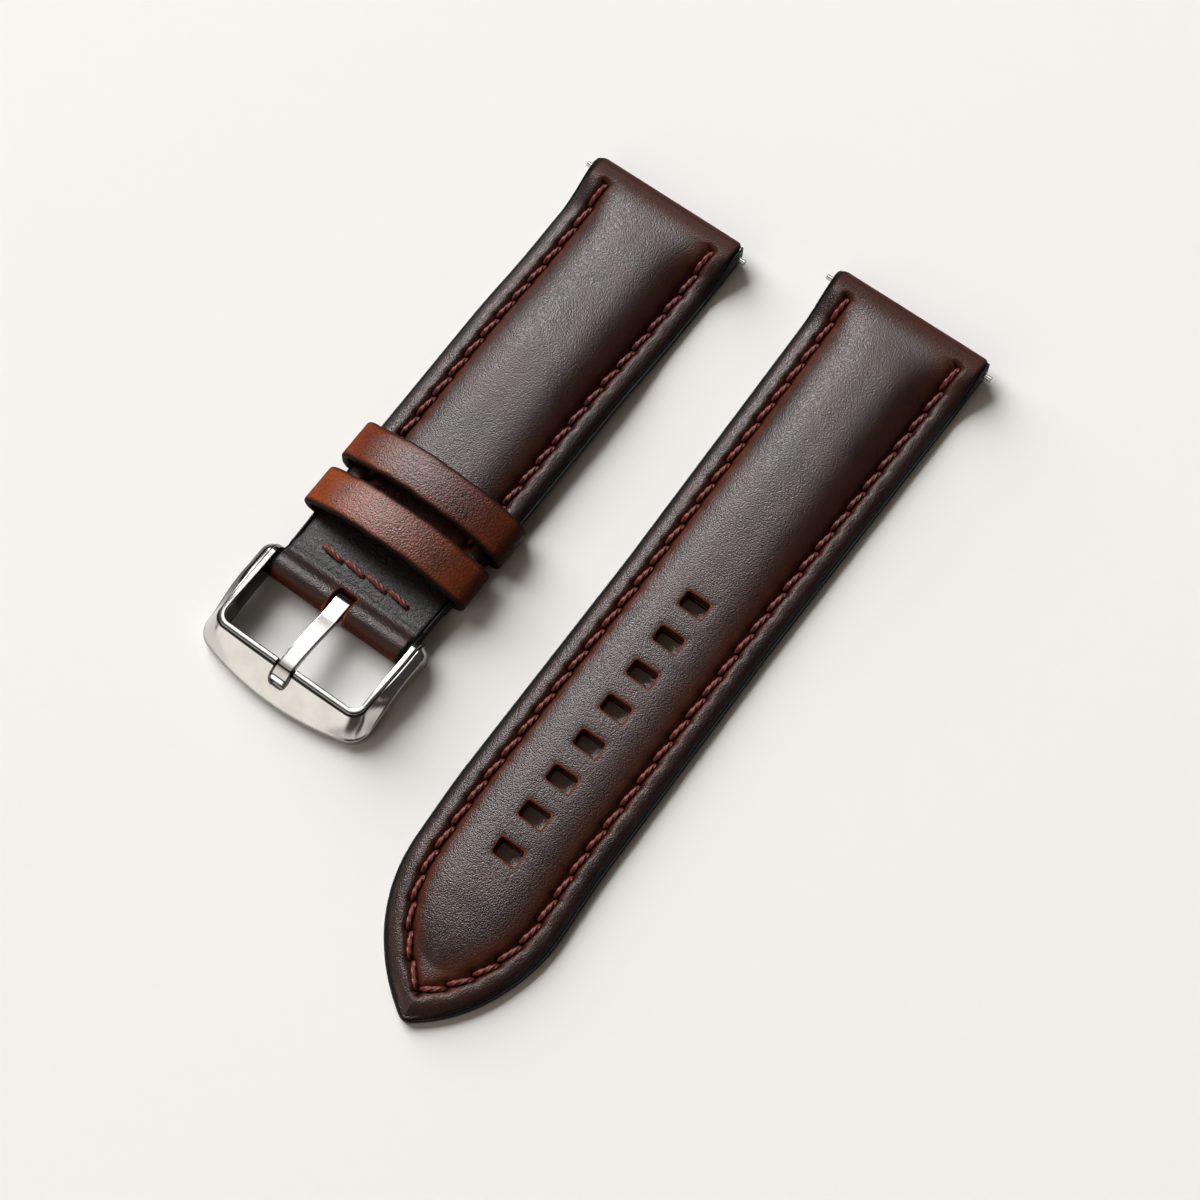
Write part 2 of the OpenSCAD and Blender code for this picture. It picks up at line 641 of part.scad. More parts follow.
// Tongue: a curl round the barrel and a flat pin that rises and drops into its notch
curl_in_r = buckle_bar_d/2 + run;
curl_out_r = curl_in_r + 0.75;
function tongue_under(x) =
  x < window_reach - 1
    ? lerp(curl_out_r - tongue_t, notch_floor(0) + 0.12, ease(0.5, window_reach - 2, x))
    : notch_floor(x) + 0.12;
module buckle_tongue() {
  xs = concat([for (k = [0:12]) k*(window_reach - 1)/12],
              [for (k = [1:6]) lerp(window_reach - 1, tongue_reach, k/6)]);
  pin = concat([for (x = xs) [x, tongue_under(x)]],
    [for (k = [len(xs) - 1:-1:0]) [xs[k], tongue_under(xs[k])
      + tongue_t*(k == len(xs) - 1 ? 0.45 : k == len(xs) - 2 ? 0.85 : 1)]]);
  at_buckle_bar() color(steel) translate([0, tongue_w/2, 0]) rotate([90, 0, 0])
    linear_extrude(tongue_w) difference() {
      union() {
        circle(r = curl_out_r, $fn = fine);
        polygon(pin);
      }
      circle(r = curl_in_r, $fn = fine);
    }
}

// Buckle bar: a barrel with a sprung tip in each end
buckle_barrel_half = buckle_w/2 - 0.2;
buckle_bore_d = buckle_bar_d - 0.5;
buckle_tip_y = buckle_barrel_half - barrel_wall - 2;
module buckle_bar_barrel() {
  at_buckle_bar() color(steel) difference() {
    y_rod(buckle_bar_d, -buckle_barrel_half, buckle_barrel_half);
    y_rod(buckle_bore_d, -buckle_barrel_half + barrel_wall, buckle_barrel_half - barrel_wall);
    y_rod(tip_d + 2*run, -buckle_w, buckle_w);
  }
}
module buckle_bar_spring() {
  reach = buckle_tip_y - 0.02;
  at_buckle_bar() color("silver") difference() {
    y_rod(buckle_bore_d - 2*run - 0.04, -reach, reach);
    y_rod(buckle_bore_d - 2*run - 0.34, -reach - 1, reach + 1);
  }
}
module buckle_tip() {
  y_rod(buckle_bore_d - 2*run, buckle_tip_y, buckle_tip_y + 2);
  bar_tip(tip_d, buckle_tip_y + 1, buckle_tip_y + 2, buckle_w/2 + ear_hole_depth - 0.2);
}
module buckle_bar_left_tip() {
  at_buckle_bar() color(steel) buckle_tip();
}
module buckle_bar_right_tip() {
  at_buckle_bar() color(steel) mirror([0, 1, 0]) buckle_tip();
}

module short_lug_bar_barrel() { lug_bar_barrel(SHORT); }
module short_lug_bar_spring() { lug_bar_spring(SHORT); }
module short_lug_bar_fixed_tip() { lug_bar_fixed_tip(SHORT); }
module short_lug_bar_sliding_tip() { lug_bar_sliding_tip(SHORT); }
module short_lug_bar_lever() { lug_bar_lever(SHORT); }

// Long half
module long_upper_lug_end() {
  place_half(LONG) color(leather) lug_end_upper(LONG, long_bend);
}
module long_upper() {
  rows = span(LONG, long_bend + bend_gap/2, long_len);
  place_half(LONG) color(leather) difference() {
    skin([for (s = rows) top_row(LONG, s)], [for (s = rows) under_row(LONG, s)]);
    hole_cuts();
  }
}
module long_lining_lug_end() {
  place_half(LONG) color(leather_inside) lining(LONG, turn_in + glue, long_bend - bend_gap/2);
}
module long_lining() {
  place_half(LONG) color(leather_inside) difference() {
    lining(LONG, long_bend + bend_gap/2, long_len);
    hole_cuts();
  }
}
module long_padding_lug_end() {
  place_half(LONG) color(filler) padding(LONG, 2*lug_r, long_bend - bend_gap/2);
}
module long_padding() {
  place_half(LONG) color(filler) difference() {
    padding(LONG, long_bend + bend_gap/2, long_len - point_pad);
    hole_cuts();
  }
}
module long_stitching_lug_end() {
  place_half(LONG) color(thread) for (sign = [-1, 1])
    stitch_row(LONG, long_pitch, 0, long_bend_stitches - 1, sign);
}
module long_stitching() {
  place_half(LONG) color(thread) for (sign = [-1, 1])
    stitch_row(LONG, long_pitch, long_bend_stitches, long_stitches - 2, sign);
}
module long_lug_bar_barrel() { lug_bar_barrel(LONG); }
module long_lug_bar_spring() { lug_bar_spring(LONG); }
module long_lug_bar_fixed_tip() { lug_bar_fixed_tip(LONG); }
module long_lug_bar_sliding_tip() { lug_bar_sliding_tip(LONG); }
module long_lug_bar_lever() { lug_bar_lever(LONG); }

short_upper_lug_end();
short_upper();
short_lining_lug_end();
short_lining();
short_padding_lug_end();
short_padding();
short_stitching_left_lug_end();
short_stitching_left();
short_stitching_right_lug_end();
short_stitching_right();
cross_stitching();
free_keeper();
fixed_keeper();
buckle_frame();
buckle_tongue();
buckle_bar_barrel();
buckle_bar_spring();
buckle_bar_left_tip();
buckle_bar_right_tip();
short_lug_bar_barrel();
short_lug_bar_spring();
short_lug_bar_fixed_tip();
short_lug_bar_sliding_tip();
short_lug_bar_lever();
long_upper_lug_end();
long_upper();
long_lining_lug_end();
long_lining();
long_padding_lug_end();
long_padding();
long_stitching_lug_end();
long_stitching();
long_lug_bar_barrel();
long_lug_bar_spring();
long_lug_bar_fixed_tip();
long_lug_bar_sliding_tip();
long_lug_bar_lever();
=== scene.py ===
"""A leather watch strap in two halves, dressed round its CAD frame.

The halves lie side by side, lining down. The short one carries a pin buckle and two keepers, the
long one the holes for the tongue. Each half is worked out from its lug edge: s runs along it, v
across it from the centre line, and both are in millimetres until a mesh is made in metres.
"""
import logging
import math
from dataclasses import dataclass, field
from enum import Enum
from typing import Callable, Sequence

import bmesh
import bpy
import numpy as np
from mathutils import Matrix

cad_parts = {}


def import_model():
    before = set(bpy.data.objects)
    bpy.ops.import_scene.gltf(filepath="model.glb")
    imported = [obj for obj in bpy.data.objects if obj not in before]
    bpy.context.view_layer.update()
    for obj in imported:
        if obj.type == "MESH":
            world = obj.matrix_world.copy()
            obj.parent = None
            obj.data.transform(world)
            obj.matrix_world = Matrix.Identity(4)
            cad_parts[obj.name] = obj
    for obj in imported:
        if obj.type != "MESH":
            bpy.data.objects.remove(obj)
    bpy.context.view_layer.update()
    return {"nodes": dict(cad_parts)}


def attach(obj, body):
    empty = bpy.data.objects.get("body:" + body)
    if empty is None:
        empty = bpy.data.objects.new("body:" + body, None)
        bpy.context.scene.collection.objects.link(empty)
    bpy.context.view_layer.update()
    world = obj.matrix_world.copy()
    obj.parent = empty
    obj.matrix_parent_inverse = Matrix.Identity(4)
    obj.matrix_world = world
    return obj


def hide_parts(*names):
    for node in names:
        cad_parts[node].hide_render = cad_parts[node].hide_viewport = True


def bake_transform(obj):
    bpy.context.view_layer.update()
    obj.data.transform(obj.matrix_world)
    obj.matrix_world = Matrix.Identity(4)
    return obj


log = logging.getLogger("strap")
Array = np.ndarray
Piece = bpy.types.Object
Material = bpy.types.Material
Colour = str  # six hexadecimal digits, as on the web
MM = 0.001


class Row(Enum):
    """A stitch row of a half, named by the sign of its side."""

    LEFT = 1
    RIGHT = -1


def mix(a: Array | float, b: Array | float, k: Array | float) -> Array | float:
    """Value a at k 0, b at k 1 and straight between them."""
    return a + (b - a) * k


def ease(a: float, b: float, x: Array | float) -> Array | float:
    """Zero up to a, one from b on, and a smooth step 3k^2 - 2k^3 between them."""
    k = np.clip((x - a) / (b - a), 0.0, 1.0)
    return k * k * (3.0 - 2.0 * k)


def bell(x: Array | float, width: Array | float) -> Array | float:
    """A bell of height one that falls to 1/e at the given width."""
    return np.exp(-np.square(x / width))


def uneven_bell(x: Array, below: Array | float, above: float) -> Array:
    """A bell of one width below zero and another above it."""
    return bell(np.minimum(x, 0), below) * bell(np.maximum(x, 0), above)


def sag(t: Array) -> Array:
    """Fall of a quarter circle of radius one at t from its top: 1 - sqrt(1 - t^2)."""
    return 1 - np.sqrt(1 - t * t)


def outside(x: Array, y: Array) -> Array:
    """Distance from an oblong of a place that lies x and y past its sides."""
    return np.hypot(np.maximum(x, 0), np.maximum(y, 0))


def quarter(count: int) -> Array:
    """Angles over a quarter turn."""
    return np.linspace(0, np.pi / 2, count)


def mirrored(side: Array) -> Array:
    """Rows of distances across, made of those on one side from the centre line on."""
    return np.hstack([-side[:, :0:-1], side])


def tone(code: Colour) -> tuple[float, ...]:
    """Linear colour of a web colour code.

    Args:
        code: Six hexadecimal digits.

    Returns:
        The colour with alpha one, each channel ((c + 0.055)/1.055)^2.4 above the dark toe.
    """
    parts = (int(code[k:k + 2], 16) / 255 for k in (0, 2, 4))
    red, green, blue = (c / 12.92 if c <= 0.04045 else ((c + 0.055) / 1.055) ** 2.4 for c in parts)
    return (red, green, blue, 1.0)


# ---- Meshes ----


@dataclass
class Shell:
    """Points, quads and named values of a closed surface, in millimetres."""

    points: Array
    quads: Array
    marks: dict[str, Array] = field(default_factory=dict)
    corners: Array | None = None

    def moved(self, x: float, y: float, z: float = 0.0) -> "Shell":
        """The same shell set at another place."""
        return Shell(self.points + np.array([x, y, z]), self.quads, self.marks, self.corners)


def joined(shells: Sequence[Shell]) -> Shell:
    """Several shells with the same marks as one.

    Args:
        shells: Shells that all have the same marks.

    Returns:
        One shell.
    """
    starts = np.cumsum([0] + [len(s.points) for s in shells[:-1]])
    corners = None
    if shells[0].corners is not None:
        corners = np.vstack([s.corners for s in shells])
    return Shell(
        np.vstack([s.points for s in shells]),
        np.vstack([s.quads + k for s, k in zip(shells, starts)]),
        {name: np.concatenate([s.marks[name] for s in shells]) for name in shells[0].marks},
        corners,
    )


def grid_quads(index: Array, wrap_rows: bool = False, wrap_cols: bool = False) -> Array:
    """Quads between neighbouring entries of a table of point numbers.

    Args:
        index: Table of point numbers, with any leading dimensions before rows and columns.
        wrap_rows: Joins the last row to the first.
        wrap_cols: Joins the last column to the first.

    Returns:
        One row of four point numbers for each quad.
    """
    if wrap_rows:
        index = np.concatenate([index, index[..., :1, :]], -2)
    if wrap_cols:
        index = np.concatenate([index, index[..., :, :1]], -1)
    a, b = index[..., :-1, :-1], index[..., 1:, :-1]
    c, d = index[..., 1:, 1:], index[..., :-1, 1:]
    return np.stack([a, b, c, d], -1).reshape(-1, 4)


def cap_quads(loops: Array) -> Array:
    """Quads that close flat loops: point i goes with the point as far from the other end.

    Args:
        loops: Point numbers round each loop, an even number of them.

    Returns:
        One row of four point numbers for each quad.
    """
    half = loops.shape[-1] // 2
    a, b = loops[..., : half - 1], loops[..., 1:half]
    back = loops[..., ::-1]
    c, d = back[..., 1:half], back[..., : half - 1]
    return np.stack([a, b, c, d], -1).reshape(-1, 4)


def placed(name: str, data: bpy.types.ID) -> Piece:
    """Puts data into a new object of the scene.

    Args:
        name: The object's name.
        data: Its mesh, camera or lamp.

    Returns:
        The object.
    """
    made = bpy.data.objects.new(name, data)
    bpy.context.scene.collection.objects.link(made)
    return made


def make_piece(name: str, shell: Shell, material: Material) -> Piece:
    """Puts a shell into a new object at the origin, in metres, with its faces turned outwards.

    Args:
        name: The piece's name.
        shell: Its surface, in millimetres.
        material: Its finish.

    Returns:
        The piece, with the shell's marks as its named values.
    """
    mesh = bpy.data.meshes.new(name)
    count = len(shell.quads)
    mesh.vertices.add(len(shell.points))
    mesh.vertices.foreach_set("co", (shell.points * MM).astype(np.float32).ravel())
    mesh.loops.add(count * 4)
    mesh.loops.foreach_set("vertex_index", shell.quads.astype(np.int32).ravel())
    mesh.polygons.add(count)
    mesh.polygons.foreach_set("loop_start", np.arange(0, count * 4, 4, dtype=np.int32))
    mesh.polygons.foreach_set("use_smooth", np.ones(count, dtype=bool))
    for mark, values in shell.marks.items():
        attribute = mesh.attributes.new(mark, "FLOAT", "POINT")
        attribute.data.foreach_set("value", values.astype(np.float32).ravel())
    if shell.corners is not None:
        layer = mesh.uv_layers.new(name="UVMap")
        layer.data.foreach_set("uv", shell.corners.astype(np.float32).ravel())
    mesh.update(calc_edges=True)
    work = bmesh.new()
    work.from_mesh(mesh)
    bmesh.ops.recalc_face_normals(work, faces=work.faces)
    work.to_mesh(mesh)
    work.free()
    mesh.materials.append(material)
    log.info("%s: %d faces", name, count)
    return placed(name, mesh)


def tubes(centres: Array, across: Array, up: Array, radius: Array, columns: int = 6) -> Shell:
    """Round closed tubes along centre lines.

    Ring point k stands at centre + radius*(across*cos(2 pi k/columns) + up*sin(2 pi k/columns)).

    Args:
        centres: Points of the centre lines, one line per first index.
        across: Unit vectors across each line.
        up: Unit vectors square to across.
        radius: Radius at each ring.
        columns: Points round a ring, an even number.

    Returns:
        The tubes with flat ends and a UV map: u along in millimetres, v once round.
    """
    turn = np.linspace(0, 2 * np.pi, columns, endpoint=False)
    rings = (centres[:, :, None] + radius[None, :, None, None]
             * (across[:, :, None] * np.cos(turn)[None, None, :, None]
                + up[:, :, None] * np.sin(turn)[None, None, :, None]))
    lines, count = centres.shape[:2]
    index = np.arange(lines * count * columns).reshape(lines, count, columns)
    steps = np.linalg.norm(np.diff(centres, axis=1), axis=-1)
    along = np.concatenate([np.zeros((lines, 1)), np.cumsum(steps, axis=1)], 1)
    u = np.broadcast_to(along[:, :, None], (lines, count, columns))
    table = np.arange(lines * count * (columns + 1)).reshape(lines, count, columns + 1)
    uv = np.stack([
        np.concatenate([u, u[..., :1]], -1).ravel(),
        np.broadcast_to(np.linspace(0, 1, columns + 1), (lines, count, columns + 1)).ravel(),
    ], -1)
    body = grid_quads(index, wrap_cols=True)
    ends = np.vstack([cap_quads(index[:, 0]), cap_quads(index[:, -1])])
    corners = np.vstack([uv[grid_quads(table).ravel()], np.zeros((ends.size, 2))])
    return Shell(rings.reshape(-1, 3), np.vstack([body, ends]), {}, corners)


def rounded_section(width: float, thick: float, radius: float, flats: int, turns: int) -> Array:
    """Outline of a flat strip with rounded corners.

    Args:
        width: Width of the strip.
        thick: Thickness of the strip.
        radius: Radius of its four corners.
        flats: Points over half of a flat face.
        turns: Steps round a corner.

    Returns:
        Rows of (share of the way from the inner to the outer face, place across the width).
    """
    level = np.linspace(0, width / 2 - radius, flats)
    angle = quarter(turns + 1)
    edge = width / 2 - radius
    a = np.concatenate([0 * level[:-1], radius - radius * np.cos(angle),
                        thick - radius + radius * np.sin(angle), thick + 0 * level[:-1]])
    b = np.concatenate([level[:-1], edge + radius * np.sin(angle),
                        edge + radius * np.cos(angle), level[:-1][::-1]])
    right = np.stack([a / thick, b], -1)
    left = right[1:-1][::-1] * np.array([1.0, -1.0])
    return np.vstack([right, left])


def arc(x: float, y: float, r: float, turn: Array) -> Array:
    """Points of an arc of radius r round (x, y), at angles from the first axis."""
    return np.stack([x + r * np.cos(turn), y + r * np.sin(turn)], -1)


def swept(points: Array, closed: bool = False, marks: dict[str, Array] | None = None) -> Shell:
    """Closes a table of points, one row per section, at its ends or by joining them.

    Args:
        points: Table of points, one row per section.
        closed: Joins the last section to the first.
        marks: Named values, one per point.

    Returns:
        The closed surface.
    """
    index = np.arange(points[..., 0].size).reshape(points.shape[:2])
    faces = [grid_quads(index, wrap_rows=closed, wrap_cols=True)]
    if not closed:
        faces += [cap_quads(index[0]), cap_quads(index[-1])]
    return Shell(points.reshape(-1, 3), np.vstack(faces), marks or {})


def lofted(inner: Array, outer: Array, section: Array, side: Array, closed: bool) -> Shell:
    """A strip between two lines of points, with a section across it.

    Point (k, m) stands at inner[k] + a[m]*(outer[k] - inner[k]) + b[m]*side.

    Args:
        inner: Points of the strip's inner line.
        outer: Points of its outer line.
        section: Rows of (a, b) round the section.
        side: Unit vector across the strip, one for all or one per point.
        closed: Whether the strip joins its own start.

    Returns:
        The strip, with its share (a) and its place across (b) as marks.
    """
    a, b = section[:, 0], section[:, 1]
    side = np.broadcast_to(side, inner.shape)
    points = (inner[:, None] + a[None, :, None] * (outer - inner)[:, None]
              + b[None, :, None] * side[:, None])
    return swept(points, closed, {"share": np.tile(a, len(inner)), "place": np.tile(b, len(inner))})


# ---- The leather halves ----


def perimeter(table: Array) -> Array:
    """Entries round the edge of a table, once, in order."""
    return np.concatenate([table[0, :-1], table[:-1, -1], table[-1, :0:-1], table[:0:-1, 0]])


@dataclass(frozen=True)
class Opening:
    """A rounded oblong cut through a sheet, in path and across distances."""

    p: float
    half_p: float
    half_v: float
    corner: float = 0.35
    lip: float = 0.16
    margin: float = 0.7


@dataclass
class Sheet:
    """A closed sheet between an outer and an inner face, with openings cut through it."""

    rows: Array
    cols: Array
    outer: Callable[[Array, Array], Array]
    inner: Callable[[Array, Array], Array]
    marks: Callable[[Array, Array], dict[str, Array]]
    openings: Sequence[Opening] = ()

    def shell(self) -> Shell:
        """Both faces as grids, joined along their rims and along each opening.

        Returns:
            The closed sheet, whose mark "cut" is one on the walls of openings.
        """
        n, m = self.cols.shape
        p = np.broadcast_to(self.rows[:, None], (n, m))
        outer = np.arange(n * m).reshape(n, m)
        inner = outer + n * m
        points = [self.outer(p, self.cols).reshape(-1, 3), self.inner(p, self.cols).reshape(-1, 3)]
        named = self.marks(p, self.cols)
        marks = {k: [w.ravel(), w.ravel()] for k, w in named.items()}
        marks["cut"] = [np.zeros(n * m), np.zeros(n * m)]
        keep = np.ones((n - 1, m - 1), dtype=bool)
        faces = []
        start = 2 * n * m
        for opening in self.openings:
            i0, i1, j0, j1 = self.patch(opening)
            keep[i0:i1, j0:j1] = False
            window = (slice(i0, i1 + 1), slice(j0, j1 + 1))
            ring_p, ring_v, depth = self.rings(opening, perimeter(p[window]),
                                               perimeter(self.cols[window]))
            top, low = self.outer(ring_p, ring_v), self.inner(ring_p, ring_v)
            thick = np.linalg.norm(low - top, axis=-1)
            share = np.where(depth < 0, 1.0, np.clip(depth / np.maximum(thick, 0.05), 0, 1))
            share = np.where(depth > 90, 1.0, share)
            points.append(mix(top, low, share[..., None]).reshape(-1, 3))
            for k, w in self.marks(ring_p, ring_v).items():
                marks[k].append(w.ravel())
            marks["cut"].append(np.where((depth > 0.02) & (depth < 90), 1.0, 0.0).ravel())
            new = start + np.arange(ring_p.size).reshape(ring_p.shape)
            start += ring_p.size
            loop_o, loop_i = perimeter(outer[window]), perimeter(inner[window])
            faces.append(grid_quads(np.vstack([loop_o, new, loop_i]), wrap_cols=True))
        faces.append(grid_quads(outer)[keep.ravel()])
        faces.append(grid_quads(inner)[keep.ravel()][:, ::-1])
        faces.append(grid_quads(np.vstack([perimeter(outer), perimeter(inner)]), wrap_cols=True))
        quads = np.vstack(faces)
        flat = np.vstack(points)
        used = np.unique(quads)
        number = np.full(len(flat), -1)
        number[used] = np.arange(len(used))
        return Shell(flat[used], number[quads],
                     {k: np.concatenate(w)[used] for k, w in marks.items()})

    def patch(self, opening: Opening) -> tuple[int, int, int, int]:
        """First and last grid row and column of the window that an opening replaces.

        Args:
            opening: The opening.

        Returns:
            First and last row, first and last column.
        """
        reach_p, reach_v = opening.half_p + opening.margin, opening.half_v + opening.margin
        i0 = int(np.searchsorted(self.rows, opening.p - reach_p)) - 1
        i1 = int(np.searchsorted(self.rows, opening.p + reach_p))
        cols = self.cols[(i0 + i1) // 2]
        return i0, i1, int(np.searchsorted(cols, -reach_v)) - 1, int(np.searchsorted(cols, reach_v))

    @staticmethod
    def rings(opening: Opening, edge_p: Array, edge_v: Array) -> tuple[Array, Array, Array]:
        """Rings of points from a window's edge over the lip of its opening to the inner face.

        The window's edge is scaled onto the oblong, each corner is pushed onto a quarter turn,
        the lip sinks by lip*(1 - cos) while it closes by lip*(1 - sin), and the wall goes down.

        Args:
            opening: The opening.
            edge_p: Path distance of each point of the window's edge.
            edge_v: Distance across of each point.

        Returns:
            Path distance, distance across and depth below the outer face, a row per ring.
            A depth of 99 stands for the inner face.
        """
        side_p = np.where(edge_p > opening.p, edge_p.max() - opening.p, opening.p - edge_p.min())
        side_v = np.where(edge_v > 0, edge_v.max(), -edge_v.min())
        x = (edge_p - opening.p) / side_p * opening.half_p
        y = edge_v / side_v * opening.half_v
        core_x = np.clip(x, opening.corner - opening.half_p, opening.half_p - opening.corner)
        core_y = np.clip(y, opening.corner - opening.half_v, opening.half_v - opening.corner)
        length = np.maximum(np.hypot(x - core_x, y - core_y), 1e-6)
        way_x, way_y = (x - core_x) / length, (y - core_y) / length

        def rim(grown: float) -> tuple[Array, Array]:
            """The oblong's outline, grown by so much."""
            reach = opening.corner + grown
            return opening.p + core_x + reach * way_x, core_y + reach * way_y

        grown_p, grown_v = rim(opening.lip)
        rows = [(mix(edge_p, grown_p, t), mix(edge_v, grown_v, t), 0.0)
                for t in (0.35, 0.65, 0.85, 1.0)]
        for turn in quarter(5)[1:]:
            rim_p, rim_v = rim(opening.lip * (1 - math.sin(turn)))
            rows.append((rim_p, rim_v, opening.lip * (1 - math.cos(turn))))
        rim_p, rim_v = rim(0.0)
        rows += [(rim_p, rim_v, 0.45), (rim_p, rim_v, 0.75), (rim_p, rim_v, 99.0)]
        rows += [(mix(rim_p, edge_p, t), mix(rim_v, edge_v, t), 99.0) for t in (0.3, 0.65)]
        ring_p, ring_v = (np.stack([r[k] for r in rows]) for k in (0, 1))
        depth = np.stack([np.full(edge_p.shape, r[2]) for r in rows])
        return ring_p, ring_v, depth


@dataclass
class Half:
    """One half of the strap: its outline, heights and stitch rows as functions of s and v.

    Its methods take and give arrays in millimetres: s is the distance along the half, v across
    it from the centre line, and p along the upper's path, round the roll and the fold.
    """

    x0: float
    y0: float
    length: float
    stitch_pitch: float
    stitch_count: int
    bend_start: float
    bend_end: float
    lining_end: float
    padding_end: float
    lug_w: float = 24.0
    upper_t: float = 1.0
    lining_t: float = 1.0
    lining_in: float = 0.02
    lining_round: float = 0.22
    under_groove: float = 0.42
    lug_r: float = 2.0
    lug_loop_r: float = 1.0
    crown_lug: float = 4.6
    crown_far: float = 3.1
    crown_settled: float = 60.0
    edge_round: float = 0.35
    roll_off: float = 1.95
    roll_most: float = 0.9
    margin_fall: float = 1.25
    margin_lift: float = 0.07
    pull_height: float = 0.1
    dip_depth: float = 0.42
    stitch_in: float = 3.0
    stitch_len: float = 3.4
    stitch_start: float = 3.9
    groove_depth: float = 0.5
    groove_w: float = 0.55
    groove_in: float = 0.75
    groove_out: float = 0.5
    stain: float = 0.72
    stain_far: float = 3.1
    stain_near: float = 1.6
    last_len: float = 3.4
    turn_in: float = 7.0
    slant: float = 0.55
    corner_r: float = 1.4
    name: str = "half"

    # Outline
    def plain_width(self, s: Array) -> Array:
        """Half width at distance s, before the lug corners are rounded."""
        raise NotImplementedError

    def half_width(self, s: Array) -> Array:
        """Half width, less r - sqrt(r^2 - t^2) at t into the rounded lug corner."""
        t = np.clip(self.corner_r - s, 0, self.corner_r)
        return self.plain_width(s) - self.corner_r + np.sqrt(self.corner_r ** 2 - t * t)

    def side_shift(self, s: Array) -> Array:
        """Sideways shift of the centre line."""
        return 0.0 * s

    def row(self, s: Array) -> Array:
        """Distance of the stitch row from the centre line."""
        return self.plain_width(s) - self.stitch_in

    def aside(self, s: Array, v: Array) -> Array:
        """Distance outwards from the stitch row."""
        return np.abs(v) - self.row(s)

    def along(self, s: Array, v: Array) -> Array:
        """Distance along the stitch row at the place nearest to (s, v)."""
        return s + 0 * v

    def row_point(self, d: Array) -> tuple[Array, Array]:
        """Place (s, v) of the stitch row at a distance along it."""
        return d, self.row(d)

    def lift(self, s: Array) -> Array:
        """Height of the lining's under side over the floor."""
        return 0.0 * s

    def crown_keep(self, s: Array) -> Array:
        """Share of the crown that is left at s."""
        raise NotImplementedError

    def groove_keep(self, s: Array) -> Array:
        """Share of the stitch groove's depth at s, from the first stitch on."""
        return ease(self.stitch_start - 0.7, self.stitch_start + 0.1, s) * self.groove_end(s)

    def groove_end(self, s: Array) -> Array:
        """One along the groove and zero past its end."""
        raise NotImplementedError

    # Heights
    def margin(self, s: Array) -> Array:
        """Height of the flat margin: the roll's 2r falls to the two layers in 7.5 mm."""
        full = self.upper_t + self.lining_t
        return mix(2 * self.lug_r, full, ease(self.lug_r + 0.5, self.lug_r + 8, s))

    def crown(self, s: Array) -> Array:
        """Height of the crown on the centre line: high behind the lugs, then lower.

        Args:
            s: Distance along the half.

        Returns:
            The height, at least the margin's.
        """
        m = self.margin(s)
        rise = mix(2 * self.lug_r, self.crown_lug, ease(self.lug_r, 12, s))
        body = mix(rise, self.crown_far, ease(20, self.crown_settled, s))
        return m + (np.maximum(body, m) - m) * self.crown_keep(s)

    def fitted(self, s: Array, size: Array | float) -> Array:
        """A size on the margin, at most a quarter of the margin's width."""
        return np.minimum(size, (self.half_width(s) - self.row(s)) / 4)

    def groove_half(self, s: Array) -> Array:
        """Half width of the groove across the half."""
        return self.fitted(s, self.groove_w)

    def stitch_phase(self, s: Array, v: Array) -> tuple[Array, Array]:
        """Distance past the last stitch's start, and whether a stitch is there.

        Args:
            s: Distance along the half.
            v: Distance across.

        Returns:
            The distance, and true where the row is stitched.
        """
        d = (self.along(s, v) - self.stitch_start) / self.stitch_pitch
        live = (d > -0.35) & (d < self.stitch_count + 0.1)
        return (d - np.floor(d)) * self.stitch_pitch, live

    def needle_dips(self, s: Array, v: Array) -> Array:
        """Bells at both ends of each stitch, set apart by the stitch's slant.

        Args:
            s: Distance along the half.
            v: Distance across.

        Returns:
            One at the middle of a needle hole, zero away from them.
        """
        phase, live = self.stitch_phase(s, v)
        start = np.minimum(phase, self.stitch_pitch - phase)
        end = phase - self.stitch_len
        lean = np.where(v < 0, -1.0, 1.0) * self.aside(s, v)
        first = bell(start, 0.4) * bell(lean - self.slant / 2, 0.42)
        last = bell(end, 0.4) * bell(lean + self.slant / 2, 0.42)
        return np.where(live, first + last, 0.0)

    def pull(self, s: Array, v: Array) -> Array:
        """Wave of the leather along the row: one between needle holes, zero at them."""
        phase, live = self.stitch_phase(s, v)
        return np.where(live, np.sin(np.pi * np.clip(phase / self.stitch_len, 0, 1)), 0.5)

    def dome(self, s: Array, v: Array) -> Array:
        """Height of the crown over the margin: (c - m)(1 - q^3), q one at the groove.

        Args:
            s: Distance along the half.
            v: Distance across.

        Returns:
            The height, zero from the groove outwards.
        """
        f = self.row(self.widest(s))
        g = 0.7 * self.groove_half(s)
        q = np.clip(1 + (self.aside(s, self.blunted(s, v)) + g) / (f - g), 0, 1)
        return (self.crown(s) - self.margin(s)) * (1 - q ** 3)

    def widest(self, s: Array) -> Array:
        """Distance s whose row is the measure for the crown's shape."""
        return s

    def blunted(self, s: Array, v: Array) -> Array:
        """Distance v, changed near the centre line so that the dome has no crest there."""
        return v

